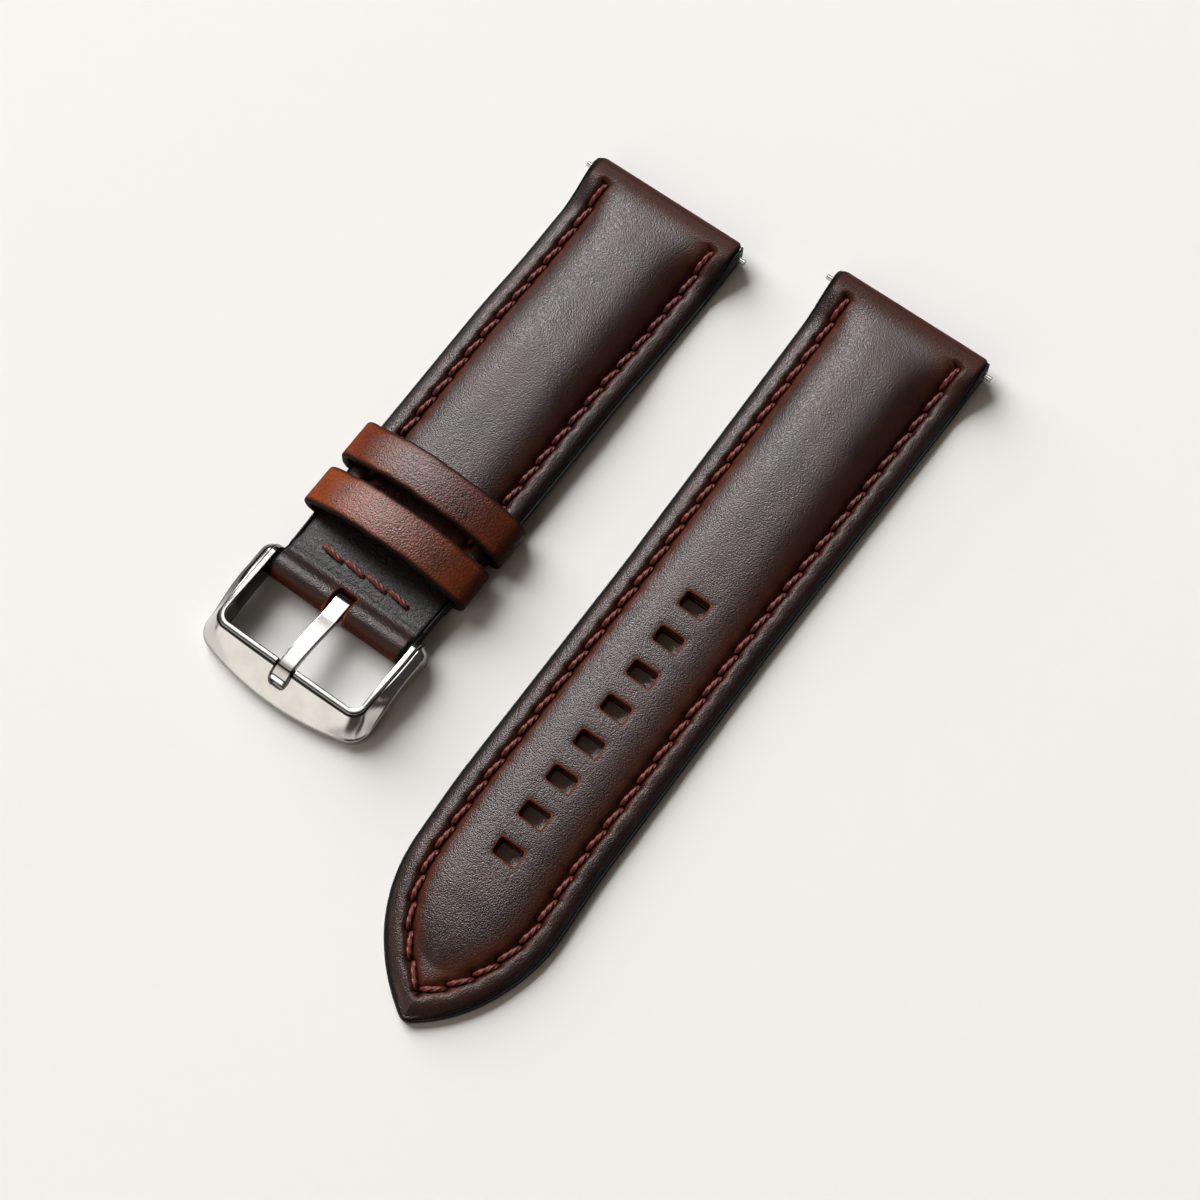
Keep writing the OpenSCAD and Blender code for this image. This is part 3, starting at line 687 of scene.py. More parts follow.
    def top(self, s: Array, v: Array) -> Array:
        """Height of the top face.

        The crown's dome stands on the margin's height. A bell dips at the stitch row, steeper on
        the margin's side, the margin lifts a little beside it and falls off like an ellipse
        towards the edge, and the needle holes sink.

        Args:
            s: Distance along the half.
            v: Distance across.

        Returns:
            Height over the floor.
        """
        aside, keep = self.aside(s, v), self.groove_keep(s)
        groove = uneven_bell(aside, self.groove_in, self.groove_out)
        over = np.clip(1 - (self.stitch_in - aside) / self.roll_off, 0, self.roll_most)
        z = self.margin(s) + self.dome(s, v) - self.groove_depth * keep * groove
        z = z + self.margin_lift * keep * ease(0.45, 1.2, aside)
        z = z - self.margin_drop(s) * sag(over)
        z = z + self.pull_height * keep * (self.pull(s, v) - 0.5) * bell(np.abs(aside) - 0.85, 0.45)
        z = z - self.dip_depth * keep * self.needle_dips(s, v)
        return z + self.lift(s) - self.sunk(s, v)

    def sunk(self, s: Array, v: Array) -> Array:
        """How far the top face is sunk by openings or by a thinner end."""
        return 0.0 * s

    def margin_drop(self, s: Array) -> Array:
        """Full depth of the ellipse on which the margin falls off."""
        return self.margin_fall * ease(1.0, 7.0, s)

    def under(self, s: Array, v: Array) -> Array:
        """Height of the upper's under side: it closes on the lining behind the bar."""
        low = self.lining_t + (2 * self.lug_r - self.upper_t - self.lining_t) * (
            1 - ease(self.lug_r, self.lug_r + 6, s))
        return np.maximum(low, self.margin(s) + self.dome(s, v) - self.upper_t) + self.lift(s)

    # Path of the upper
    @property
    def roll_len(self) -> float:
        """Length of the half turn round the lug bar."""
        return math.pi * self.lug_r

    def rolled(self, p: Array) -> tuple[Array, Array]:
        """Angle on the half turn at path distance p, and the way past it."""
        angle = np.clip((self.lug_r - p) / self.lug_r, 0, np.pi) + np.pi / 2
        return angle, np.maximum(self.lug_r - p - self.roll_len, 0)

    def station(self, p: Array) -> Array:
        """Distance s that sets the width at path distance p."""
        angle, past = self.rolled(p)
        return np.where(p < self.lug_r, self.lug_r + self.lug_r * np.cos(angle) + past, p)

    def section(self, p: Array, v: Array) -> tuple[Array, ...]:
        """Outer and inner point (x, z) of the upper, before its edges are rounded.

        Args:
            p: Distance along the upper's path.
            v: Distance across.

        Returns:
            Outer x and z, then inner x and z.
        """
        (angle, past), s = self.rolled(p), np.maximum(p, self.lug_r)
        points = []
        for r, height in ((self.lug_r, self.top(s, v)), (self.lug_loop_r, self.under(s, v))):
            points += [np.where(p < self.lug_r, self.lug_r + r * np.cos(angle) + past, p),
                       np.where(p < self.lug_r, self.lug_r + r * np.sin(angle), height)]
        return tuple(points)

    def at(self, s: Array, v: Array, z: Array) -> Array:
        """Points of the half in the frame's axes."""
        return np.stack(np.broadcast_arrays(s, v, z), -1) + [self.x0, self.y0, 0.0]

    def face(self, p: Array, v: Array, inner: bool) -> Array:
        """Point of the upper's outer or inner face.

        Near the edge the outer face sinks by e - sqrt(e^2 - t^2), t being the way into the
        rounding of radius e.

        Args:
            p: Distance along the upper's path.
            v: Distance across.
            inner: Whether it is the inner face.

        Returns:
            The points in the frame's axes.
        """
        xo, zo, xi, zi = self.section(p, v)
        s = self.station(p)
        if not inner:
            e = self.edge(s)
            t = np.clip((np.abs(v) - (self.half_width(s) - e)) / e, 0, 1)
            drop = e * sag(t)
            share = drop / np.maximum(np.hypot(xo - xi, zo - zi), 0.2)
            xi, zi = mix(xo, xi, share), mix(zo, zi, share)
        return self.at(xi, v + self.side_shift(s), zi)

    def edge(self, s: Array) -> Array:
        """Radius of the rounded top edge."""
        return self.fitted(s, self.edge_round)

    # Lines of the grid
    def columns(self, s: Array) -> Array:
        """Distances across of the grid lines at each s.

        They are even over the crown, close together over the stitch groove, and stand on a
        quarter turn at the edge.

        Args:
            s: Distance along the half.

        Returns:
            A row of distances across for each s.
        """
        w, f = self.half_width(s)[:, None], self.row(s)[:, None]
        e = self.edge(s)[:, None]
        band = np.minimum(1.25, 0.45 * np.minimum(f, w - f))
        crown = (f - band) * np.linspace(0, 1, 18)
        groove = f + band * np.linspace(-1, 1, 16)[1:]
        margin = mix(f + band, w - e, np.linspace(0, 1, 6)[1:])
        turn = w - e + e * np.sin(quarter(5)[1:])
        return mirrored(np.hstack([crown, groove, margin, turn]))

    def body_rows(self) -> Array:
        """Path distances of the grid rows from the turned-in end to the end of the half."""
        raise NotImplementedError

    def turn_rows(self) -> Array:
        """Path distances of the grid rows on the turned-in end and the roll."""
        start = self.lug_r - self.roll_len
        return np.concatenate([np.linspace(start - (self.turn_in - self.lug_r), start, 10)[:-1],
                               np.linspace(start, self.lug_r, 26)[:-1]])

    # Named values for the finishes
    def marks(self, p: Array, v: Array) -> dict[str, Array]:
        """Where the upper is burnished, creased or dark at its edge, and where shade is painted
        into its needle dips and onto its roll.

        Args:
            p: Distance along the upper's path.
            v: Distance across.

        Returns:
            Values from zero to one, by name.
        """
        s = self.station(p)
        w = self.half_width(s)
        aside = self.aside(s, v)
        keep = self.groove_keep(np.maximum(s, self.lug_r)) * ease(self.lug_r, self.lug_r + 1, p)
        stain = uneven_bell(aside, np.where(v > 0, self.stain_far, self.stain_near), 1.1) * keep
        roll = ease(self.lug_r + 3.2, self.lug_r + 0.2, p)
        return {
            "burnish": np.clip(self.stain * (stain + roll) + self.rim(s, v, p), 0, 1),
            "edge": ease(w - 0.7, w - 0.2, np.abs(v)),
            "crease": self.creases(s, p),
            # Painted shade: near-black in the needle dips and over the lug roll.
            "needle_and_roll_shade": np.clip(self.needle_dips(s, v) * keep + 0.35 * roll, 0, 1),
        }

    def rim(self, s: Array, v: Array, p: Array) -> Array:
        """Burnish round openings."""
        return 0.0 * s

    def creases(self, s: Array, p: Array) -> Array:
        """How creased the leather is."""
        return 0.0 * s


@dataclass
class LongHalf(Half):
    """The half with the tongue holes, narrowing to a point that lies a little to one side."""

    tail_w: float = 22.0
    taper_len: float = 52.0
    tip_len: float = 19.5
    tip_skew: float = 1.5
    tip_lean: float = 0.6
    hole_first: float = 52.5
    hole_pitch: float = 5.8
    hole_count: int = 8
    hole_l: float = 2.4
    hole_w: float = 3.6
    nose: float = 1.3

    @property
    def tip_s0(self) -> float:
        """Where the point begins."""
        return self.length - self.tip_len

    @property
    def tip_r(self) -> float:
        """Radius of the point's two arcs: (l^2 + (w/2)^2)/w."""
        return (self.tip_len ** 2 + self.tail_w ** 2 / 4) / self.tail_w

    @property
    def row_r(self) -> float:
        """Radius of the stitch rows round the point."""
        return self.tip_r - self.stitch_in

    @property
    def lead(self) -> float:
        """Distance of the point's arc centres beyond the centre line."""
        return self.tip_r - self.tail_w / 2

    def plain_width(self, s: Array) -> Array:
        """Straight taper, then an arc to the point, whose last bit is a rounded nose.

        The nose is a circle that touches both arcs, and the point is drawn out by as much as
        the nose cuts off.

        Args:
            s: Distance along the half.

        Returns:
            Half width.
        """
        taper = mix(self.lug_w, self.tail_w, np.clip(s / self.taper_len, 0, 1)) / 2
        middle = math.sqrt((self.tip_r - self.nose) ** 2 - self.lead ** 2)
        u = np.clip(s - self.tip_s0, 0, self.tip_len) * (middle + self.nose) / self.tip_len
        bow = np.sqrt(self.tip_r ** 2 - u ** 2) - self.lead
        nose = np.sqrt(np.maximum(self.nose ** 2 - np.maximum(u - middle, 0) ** 2, 0.0016))
        on_nose = u > middle * self.tip_r / (self.tip_r - self.nose)
        return np.where(s <= self.tip_s0, taper, np.where(on_nose, nose, bow))

    def side_shift(self, s: Array) -> Array:
        """Shift towards the point: skew times the square of the way into it, and a slight lean."""
        point = np.clip((s - self.tip_s0) / self.tip_len, 0, 1) ** 2
        return self.tip_skew * point + self.tip_lean * ease(self.tip_s0 - 11, self.tip_s0 + 5, s)

    def row(self, s: Array) -> Array:
        """Parallel to the edge, and round the point on its own arc."""
        w = self.plain_width(s)
        u = np.clip(s - self.tip_s0, 0, self.tip_len)
        bow = np.sqrt(np.maximum(self.row_r ** 2 - u ** 2, 0)) - self.lead
        return np.where(s > self.tip_s0, np.maximum(0.3 * w, bow), w - self.stitch_in)

    def aside(self, s: Array, v: Array) -> Array:
        """Distance outwards from the row, and round the point from its arc."""
        bow = np.hypot(s - self.tip_s0, np.abs(v) + self.lead) - self.row_r
        return np.where(s > self.tip_s0, bow, super().aside(s, v))

    def along(self, s: Array, v: Array) -> Array:
        """Distance s, and round the point the arc r*atan(u/(v + lead))."""
        turn = np.arctan2(s - self.tip_s0, np.abs(v) + self.lead)
        return np.where(s > self.tip_s0, self.tip_s0 + self.row_r * turn, s)

    def widest(self, s: Array) -> Array:
        """The crown keeps its shape round the point, measured from its rows."""
        return np.minimum(s, self.tip_s0)

    def blunted(self, s: Array, v: Array) -> Array:
        """Within a of the centre line (v^2/a + a)/2, a growing to 6 mm round the point."""
        a = 0.01 + 6.0 * ease(self.tip_s0 - 1, self.tip_s0 + 5, s)
        return np.where(np.abs(v) < a, (v * v / a + a) / 2, np.abs(v))

    def row_point(self, d: Array) -> tuple[Array, Array]:
        """Straight row, then the arc round the point.

        Args:
            d: Distance along the row.

        Returns:
            The place (s, v).
        """
        turn = np.maximum(d - self.tip_s0, 0) / self.row_r
        s = np.where(d > self.tip_s0, self.tip_s0 + self.row_r * np.sin(turn), d)
        bow = self.row_r * np.cos(turn) - self.lead
        return s, np.where(d > self.tip_s0, bow, self.row(np.minimum(d, self.tip_s0)))

    def crown_keep(self, s: Array) -> Array:
        """Full up to 9 mm from the point, none in its last 3 mm."""
        return ease(self.length - 3, self.length - 9, s)

    def groove_end(self, s: Array) -> Array:
        """Up to the point."""
        return ease(self.length - 1.6, self.length - 2.8, s)

    def groove_half(self, s: Array) -> Array:
        """Wider straight across where the row runs aslant."""
        lean = np.clip((s - self.tip_s0) / self.row_r, 0, 0.95)
        return self.fitted(s, self.groove_w / np.sqrt(1 - lean ** 2))

    def hole_gap(self, s: Array, v: Array) -> Array:
        """Distance from the nearest hole's rim, zero inside it."""
        k = np.clip(np.round((s - self.hole_first) / self.hole_pitch), 0, self.hole_count - 1)
        dx = np.abs(s - self.hole_first - k * self.hole_pitch) - self.hole_l / 2
        return outside(dx, np.abs(v) - self.hole_w / 2)

    def sunk(self, s: Array, v: Array) -> Array:
        """The punch has drawn the face down round each hole."""
        return 0.07 * bell(self.hole_gap(s, v), 0.55)

    def rim(self, s: Array, v: Array, p: Array) -> Array:
        """Red-brown rims round the holes."""
        return bell(self.hole_gap(s, v), 0.3) * ease(20, 30, p)

    def openings(self) -> list[Opening]:
        """The tongue holes."""
        return [Opening(self.hole_first + k * self.hole_pitch, self.hole_l / 2, self.hole_w / 2)
                for k in range(self.hole_count)]

    def body_rows(self) -> Array:
        """Even rows, closer round the point."""
        return np.concatenate([self.turn_rows(), np.arange(self.lug_r, self.tip_s0, 0.31),
                               self.point_rows(96)[1:]])

    def point_rows(self, count: int) -> Array:
        """Distances round the point, closer together towards its end."""
        return self.tip_s0 + self.tip_len * np.sin(quarter(count))


@dataclass
class ShortHalf(Half):
    """The half that carries the buckle: it ends in a fold round the buckle's bar."""

    keeper_end_w: float = 23.0
    fold_w: float = 21.4
    crown_far: float = 3.6
    crown_settled: float = 51.95
    keeper_under: float = 1.0
    free_keeper_s: float = 51.95
    fixed_keeper_s: float = 59.85
    cross_s: float = 69.45
    crease_s: float = 71.35
    bar_s: float = 74.45
    bar_z: float = 2.15
    fold_r: float = 2.05
    fold_loop_r: float = 1.05
    flap_t: float = 0.94
    flap_needle_and_roll_shade: float = 0.8
    flap_end_s: float = 59.35
    slot_s: float = 72.35
    slot_w: float = 2.9

    def __post_init__(self) -> None:
        """Works out the fold's outline once."""
        self.fold = self.fold_table()

    def plain_width(self, s: Array) -> Array:
        """Tapers to the keepers, then to the clear width between the buckle's arms."""
        near = mix(self.lug_w, self.keeper_end_w, s / self.free_keeper_s) / 2
        k = np.clip((s - self.free_keeper_s) / (self.cross_s - self.free_keeper_s), 0, 1)
        return np.where(s <= self.free_keeper_s, near, mix(self.keeper_end_w, self.fold_w, k) / 2)

    def lift(self, s: Array) -> Array:
        """The half rises over the free keeper's under side."""
        return self.keeper_under * ease(17, 31, s)

    def crown_keep(self, s: Array) -> Array:
        """Gone at the fixed keeper."""
        return 1 - ease(self.free_keeper_s, self.fixed_keeper_s, s)

    def groove_end(self, s: Array) -> Array:
        """Up to the fixed keeper."""
        return 1 - ease(self.fixed_keeper_s - 1, self.fixed_keeper_s + 0.5, s)

    def margin_drop(self, s: Array) -> Array:
        """None before the fold."""
        return super().margin_drop(s) * (1 - ease(61.0, 69.0, s))

    def sunk(self, s: Array, v: Array) -> Array:
        """The thin end between the keepers and the fold is a little arched across."""
        return 0.5 * (v / 10.7) ** 2 * ease(61.0, 65.0, s) * (1 - ease(69.0, 71.2, s))

    def fold_table(self) -> dict[str, Array]:
        """Outer and inner outline of the fold and the flap, against path distance.

        A Hermite curve climbs from the crease onto the roll, which turns 240 degrees round the
        bar. Another falls to the flap, which lies flat, dips under the fixed keeper and ends.

        Returns:
            Path distance, and x and z of the outer and inner outline.
        """
        def climb(a: Array, b: Array, way_a: Array, way_b: Array, n: int) -> Array:
            """A Hermite curve of n points from a to b, with its ways there."""
            t = np.linspace(0, 1, n)[:, None]
            return ((2 * t ** 3 - 3 * t ** 2 + 1) * a + (t ** 3 - 2 * t ** 2 + t) * way_a
                    + (3 * t ** 2 - 2 * t ** 3) * b + (t ** 3 - t ** 2) * way_b)

        turn = np.radians(np.linspace(120, -120, 41))
        out_way = np.array([math.sin(math.radians(120)), -math.cos(math.radians(120))])
        floor = self.keeper_under
        flap_x = np.array([69.6, 68.4, 67.85, 67.4, 66.9, 66.45, 65.5, 63.5, 61.5, 59.6,
                           self.flap_end_s])
        sink = self.flap_needle_and_roll_shade * ease(67.95, 66.35, flap_x)
        lines = []
        for r, top, low in ((self.fold_r, floor + 2.0, floor),
                            (self.fold_loop_r, floor + 1.0, floor + self.flap_t)):
            ring = arc(self.bar_s, self.bar_z, r, turn)
            start, end = np.array([self.crease_s, top]), np.array([self.crease_s - 0.6, low])
            lines.append(np.vstack([
                climb(start, ring[0], np.array([2.2, -0.9]), 2.2 * out_way, 14), ring[1:],
                climb(ring[-1], end, 2.0 * out_way * [-1, 1], np.array([-2.0, 0.0]), 12)[1:],
                np.stack([flap_x, low - sink], -1)]))
        outer, inner = lines
        steps = np.linalg.norm(np.diff(outer, axis=0), axis=1)
        p = self.crease_s + np.concatenate([[0], np.cumsum(steps)])
        return {"p": p, "xo": outer[:, 0], "zo": outer[:, 1], "xi": inner[:, 0], "zi": inner[:, 1]}

    def station(self, p: Array) -> Array:
        """As on the body, and on the fold the x of its outline."""
        past = np.interp(p, self.fold["p"], self.fold["xo"])
        return np.where(p > self.crease_s, past, super().station(p))

    def section(self, p: Array, v: Array) -> tuple[Array, ...]:
        """As on the body, and on the fold its table."""
        body = super().section(np.minimum(p, self.crease_s), v)
        table = (np.interp(p, self.fold["p"], self.fold[k]) for k in ("xo", "zo", "xi", "zi"))
        return tuple(np.where(p > self.crease_s, b, a) for a, b in zip(body, table))

    def slot(self) -> Opening:
        """The tongue's slot, from the top of the fold round to its under side."""
        on_roll = np.flatnonzero(self.fold["xo"] > self.slot_s)
        first, last = self.fold["p"][on_roll[0]], self.fold["p"][on_roll[-1]]
        return Opening((first + last) / 2, (last - first) / 2, self.slot_w / 2, 0.4, 0.14, 0.6)

    def rim(self, s: Array, v: Array, p: Array) -> Array:
        """Red-brown rim round the slot and front of the fold."""
        slot = self.slot()
        gap = outside(np.abs(p - slot.p) - slot.half_p, np.abs(v) - slot.half_v)
        front = ease(self.crease_s + 3.8, self.crease_s + 5.6, p) * 0.75
        return 0.95 * bell(gap, 0.3) + front

    def creases(self, s: Array, p: Array) -> Array:
        """The thin end past the keepers is creased."""
        return ease(self.fixed_keeper_s, self.fixed_keeper_s + 4, p) * (
            1 - 0.75 * ease(self.crease_s, self.crease_s + 1.5, p))

    def body_rows(self) -> Array:
        """Even rows, closer on the fold."""
        body = np.arange(self.lug_r, self.crease_s - 0.1, 0.3)
        fold = np.linspace(self.crease_s, self.fold["p"][-1], 84)
        return np.concatenate([self.turn_rows(), body, fold])


# A lower stitch: shares of the way along it, how it dives at both ends, its thread's radius
BELOW = np.linspace(0, 1, 8)[None, :]
BELOW_DIVE = 0.3 * np.abs(2 * BELOW - 1) ** 5
BELOW_R = 0.24


def upright(across: Array) -> Array:
    """A unit vector straight up for each vector across."""
    return np.broadcast_to((0.0, 0.0, 1.0), across.shape)


def under_stitches(lines: Array, across: Array) -> Shell:
    """Plain stitches on the under side, along their centre lines.

    Args:
        lines: Centre lines, one per stitch.
        across: Unit vectors across them.

    Returns:
        All stitches.
    """
    count = lines.shape[1]
    across = across[:, :count]
    return tubes(lines, across, upright(across), np.full(count, BELOW_R))


def twisted(middle: Array, across: Array, turns: float = 1.1, fat: float = 1.0) -> Shell:
    """Three-strand stitches.

    Each strand winds round the centre line on an ellipse of 0.17 by 0.14 mm and thins at both
    ends by the fourth power of the way from the middle.

    Args:
        middle: Centre lines, one per stitch.
        across: Unit vectors across them.
        turns: Turns over the length of a stitch.
        fat: Factor for the thickness.

    Returns:
        All strands.
    """
    up = upright(across)
    u = np.linspace(0, 1, middle.shape[1])
    thin = 0.19 * fat * (1 - 0.4 * np.abs(2 * u - 1) ** 4)
    near = fat * (1 - 0.45 * np.abs(2 * u - 1)[None, :, None] ** 3)
    strands = []
    for first in 2 * np.pi / 3 * np.arange(3):
        angle = (first + 2 * np.pi * turns * (0.5 - u))[None, :, None]
        strands.append(middle + near * (0.17 * np.cos(angle) * across + 0.14 * np.sin(angle) * up))
    return tubes(np.concatenate(strands), np.concatenate([across] * 3),
                 np.concatenate([up] * 3), thin, 8)


def hung(piece: Piece, node: str, body: str) -> Piece:
    """Lets a piece stand for a node and rides it on a body.

    Args:
        piece: The piece.
        node: Node that it replaces.
        body: Body that carries it.

    Returns:
        The piece.
    """
    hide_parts(node)
    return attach(piece, body)


@dataclass
class LeatherWork:
    """The leather layers, padding, painted edges and stitches of one half."""

    half: Half
    finishes: dict[str, Material]
    bead: float = 0.13
    bead_sunk: float = 0.1
    fallen: float = 0.56
    row_step: float = 0.5
    high: float = 0.42
    dive: float = 0.66
    low_rise: float = 0.27

    def bent(self, name: str, shell: Shell, finish: str,
             nodes: Sequence[str] | None = None) -> Piece:
        """Makes a piece and, where given, lets it stand for its nodes.

        Args:
            name: The piece's name, less the half's.
            shell: Its surface.
            finish: Its finish.
            nodes: Names of its nodes, less the half's.

        Returns:
            The piece.
        """
        h = self.half
        piece = make_piece(f"{h.name}_{name}", shell, self.finishes[finish])
        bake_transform(piece)
        if nodes is not None:
            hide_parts(*(f"{h.name}_{node}" for node in nodes))
        return piece

    def upper(self, openings: Sequence[Opening]) -> None:
        """The upper leather, in one piece from its turned-in end to the far end.

        Args:
            openings: Holes cut through it.
        """
        h = self.half
        rows = h.body_rows()
        sheet = Sheet(rows, h.columns(h.station(rows)), lambda p, v: h.face(p, v, False),
                      lambda p, v: h.face(p, v, True), h.marks, openings)
        self.bent("upper_leather", sheet.shell(), "upper",
                  ["upper_lug_end", "upper"])

    def lining(self, openings: Sequence[Opening]) -> None:
        """The lining, whose lower edges are rounded and whose groove takes the lower stitches.

        Args:
            openings: Holes cut through it.
        """
        h = self.half
        rows = np.arange(h.turn_in + 0.05, h.lining_end - 0.2, self.row_step)
        rows = np.append(rows, h.lining_end)
        if isinstance(h, LongHalf):
            rows = np.concatenate([rows[rows < h.tip_s0], h.point_rows(40)[1:]])

        def place(p: Array, v: Array, z: Array) -> Array:
            """Points of the lining at a height over its under side."""
            return h.at(p, v * 0.998 + h.side_shift(p), z + h.lift(p))

        def under(p: Array, v: Array) -> Array:
            """Its lower face."""
            w, e = h.half_width(p) - h.lining_in, h.lining_round
            t = np.clip((np.abs(v) - (w - e)) / e, 0, 1)
            groove = h.under_groove * h.groove_keep(p) * bell(np.abs(v) - h.row(p), 0.5)
            return place(p, v, e * sag(t) + groove)

        def marks(p: Array, v: Array) -> dict[str, Array]:
            """Where it is dark at its edge."""
            w = h.half_width(p)
            return {"edge": ease(w - 0.6, w - 0.05, np.abs(v))}

        sheet = Sheet(rows, h.columns(rows), under,
                      lambda p, v: place(p, v, h.lining_t - 0.01 + 0 * v), marks, openings)
        self.bent("lining_leather", sheet.shell(), "lining",
                  ["lining_lug_end", "lining"])

    def padding(self, openings: Sequence[Opening]) -> None:
        """The filler under the crown, domed as the leather over it is.

        Args:
            openings: Holes cut through it.
        """
        h = self.half
        rows = np.arange(2 * h.lug_r, h.padding_end, self.row_step)
        reach = (h.row(rows) - h.groove_half(rows))[:, None]
        side = reach * (1 - (1 - np.linspace(0, 1, 18)) ** 1.25)

        def above(p: Array, v: Array) -> Array:
            """Its top face."""
            z = h.margin(p) + h.dome(p, v) - h.upper_t - 0.05
            return h.at(p, v, np.maximum(z, h.lining_t + 0.02) + h.lift(p))

        sheet = Sheet(rows, mirrored(side), above, lambda p, v: h.at(p, v, h.lining_t + h.lift(p)),
                      lambda p, v: {}, openings)
        self.bent("crown_padding", sheet.shell(), "filler",
                            ["padding_lug_end", "padding"])

    def painted_edge(self, x: Array, y: Array, low: Array, high: Array) -> Shell:
        """A rounded bead of edge paint over the cut sides of the layers.

        Args:
            x: Outline of the half, distance along it.
            y: Outline, distance across.
            low: Height of the bead's lower edge at each point.
            high: Height of its upper edge.

        Returns:
            The bead: it stands proud by bead*sin(pi t)^0.35 - bead_sunk at share t of its height.
        """
        h = self.half
        way = np.stack([np.gradient(x), np.gradient(y)], -1)
        way /= np.maximum(np.linalg.norm(way, axis=1, keepdims=True), 1e-9)
        normal = np.stack([way[:, 1], -way[:, 0]], -1)
        t = np.array([0.0, 0.05, 0.15, 0.3, 0.5, 0.7, 0.85, 0.95, 1.0])
        proud = self.bead * np.sin(np.pi * t) ** 0.35 - self.bead_sunk
        t, proud = np.concatenate([t, t[::-1]]), np.concatenate([proud, 0 * proud - 0.3])
        flat = np.stack([x + h.x0, y + h.y0], -1)[:, None] + proud[None, :, None] * normal[:, None]
        z = mix(low[:, None], high[:, None], t[None, :])
        return swept(np.concatenate([flat, z[..., None]], -1))

    def side_heights(self, s: Array) -> tuple[Array, Array]:
        """Lower and upper height of the painted edge, round the roll and along the margin.

        Args:
            s: Distance along the half.

        Returns:
            The lower and the upper height.
        """
        h = self.half
        reach = np.sqrt(np.maximum((h.lug_r - 0.45) ** 2 - (s - h.lug_r) ** 2, 0.0))
        flat_low = 0.2 + h.lift(s)
        flat_high = h.margin(s) + h.lift(s) - 0.3 - self.fallen * h.margin_drop(s)
        low = np.where(s < h.lug_r, h.lug_r - reach, mix(0.3, flat_low, ease(2, 8, s)))
        return low, np.where(s < h.lug_r, h.lug_r + reach, flat_high)

    def edge_stations(self, straight_end: float, rest: Array) -> Array:
        """Stations of the painted edge: close on the roll, even along the side, then the rest."""
        r = self.half.lug_r
        return np.concatenate([mix(0.3, r, np.linspace(0, 1, 14) ** 1.6)[:-1],
                               np.arange(r, straight_end, 0.6), rest])

    def stitches(self, row: Row, nodes: Sequence[str]) -> None:
        """One row of twisted stitches on top and its plain lower stitches under the lining.

        An upper stitch's centre line dives into the needle holes as the fifth power of the way
        from the stitch's middle.

        Args:
            row: Which row.
            nodes: Its nodes, less the half's name.
        """
        h, side = self.half, row.value
        start = h.stitch_start + np.arange(h.stitch_count)[:, None] * h.stitch_pitch
        u = np.linspace(0, 1, 19)[None, :]
        length = np.where(start > start.max() - 0.1, h.last_len, h.stitch_len)
        s, f = h.row_point(start + mix(-0.12, length + 0.12, u))
        ahead, f_ahead = h.row_point(start + length * u + 0.05)
        way = np.stack([ahead - s + 1e-6, side * (f_ahead - f), 0 * s], -1)
        way = np.concatenate([way[:, 9:10]] * way.shape[1], 1)
        way /= np.linalg.norm(way, axis=-1, keepdims=True)
        across = np.stack([-way[..., 1], way[..., 0], 0 * s], -1)
        groove = h.margin(s) - h.groove_depth * h.groove_keep(s) + h.lift(s)
        rise = self.high - self.dive * np.abs(2 * u - 1) ** 5
        lean = -h.slant * (u - 0.5)
        middle = np.stack([s, side * f + h.side_shift(s), groove + rise], -1)
        top = twisted(middle + lean[..., None] * across, across)
        s, f = h.row_point(start + h.stitch_len * BELOW)
        z = h.lift(s) + self.low_rise + BELOW_DIVE
        low = under_stitches(np.stack([s, side * f + h.side_shift(s), z], -1), across)
        self.bent(f"{row.name.lower()}_stitch_row", joined([top, low]).moved(h.x0, h.y0),
                  "thread", nodes)


@dataclass
class CrossStitches:
    """The short row that closes the buckle fold."""

    half: ShortHalf
    material: Material
    count: int = 4
    pitch: float = 3.6
    length: float = 3.75
    high: float = 0.22
    dive: float = 0.4
    low_rise: float = 0.05

    def build(self) -> Piece:
        """Twisted stitches on top of the fold and plain ones under its flap.

        Returns:
            The piece.
        """
        h = self.half
        start = (np.arange(self.count)[:, None] - self.count / 2) * self.pitch + 0.05
        u = np.linspace(0, 1, 21)[None, :]
        y = start + self.length * u
        rise = self.high - self.dive * np.abs(2 * u - 1) ** 8
        middle = np.stack([h.cross_s + 0.5 * (u - 0.5) + 0 * y, y,
                           h.keeper_under + 2.0 + rise + 0 * y], -1)
        across = np.broadcast_to((1.0, 0.0, 0.0), middle.shape)
        y = start + self.length * BELOW
        z = h.keeper_under + self.low_rise + BELOW_DIVE + 0 * y
        low = under_stitches(np.stack([h.cross_s + 0 * y, y, z], -1), across)
        shell = joined([twisted(middle, across, 1.3, 1.2), low]).moved(h.x0, h.y0)
        piece = make_piece("fold_cross_stitches", shell, self.material)
        return hung(piece, "cross_stitching", "short_strap")


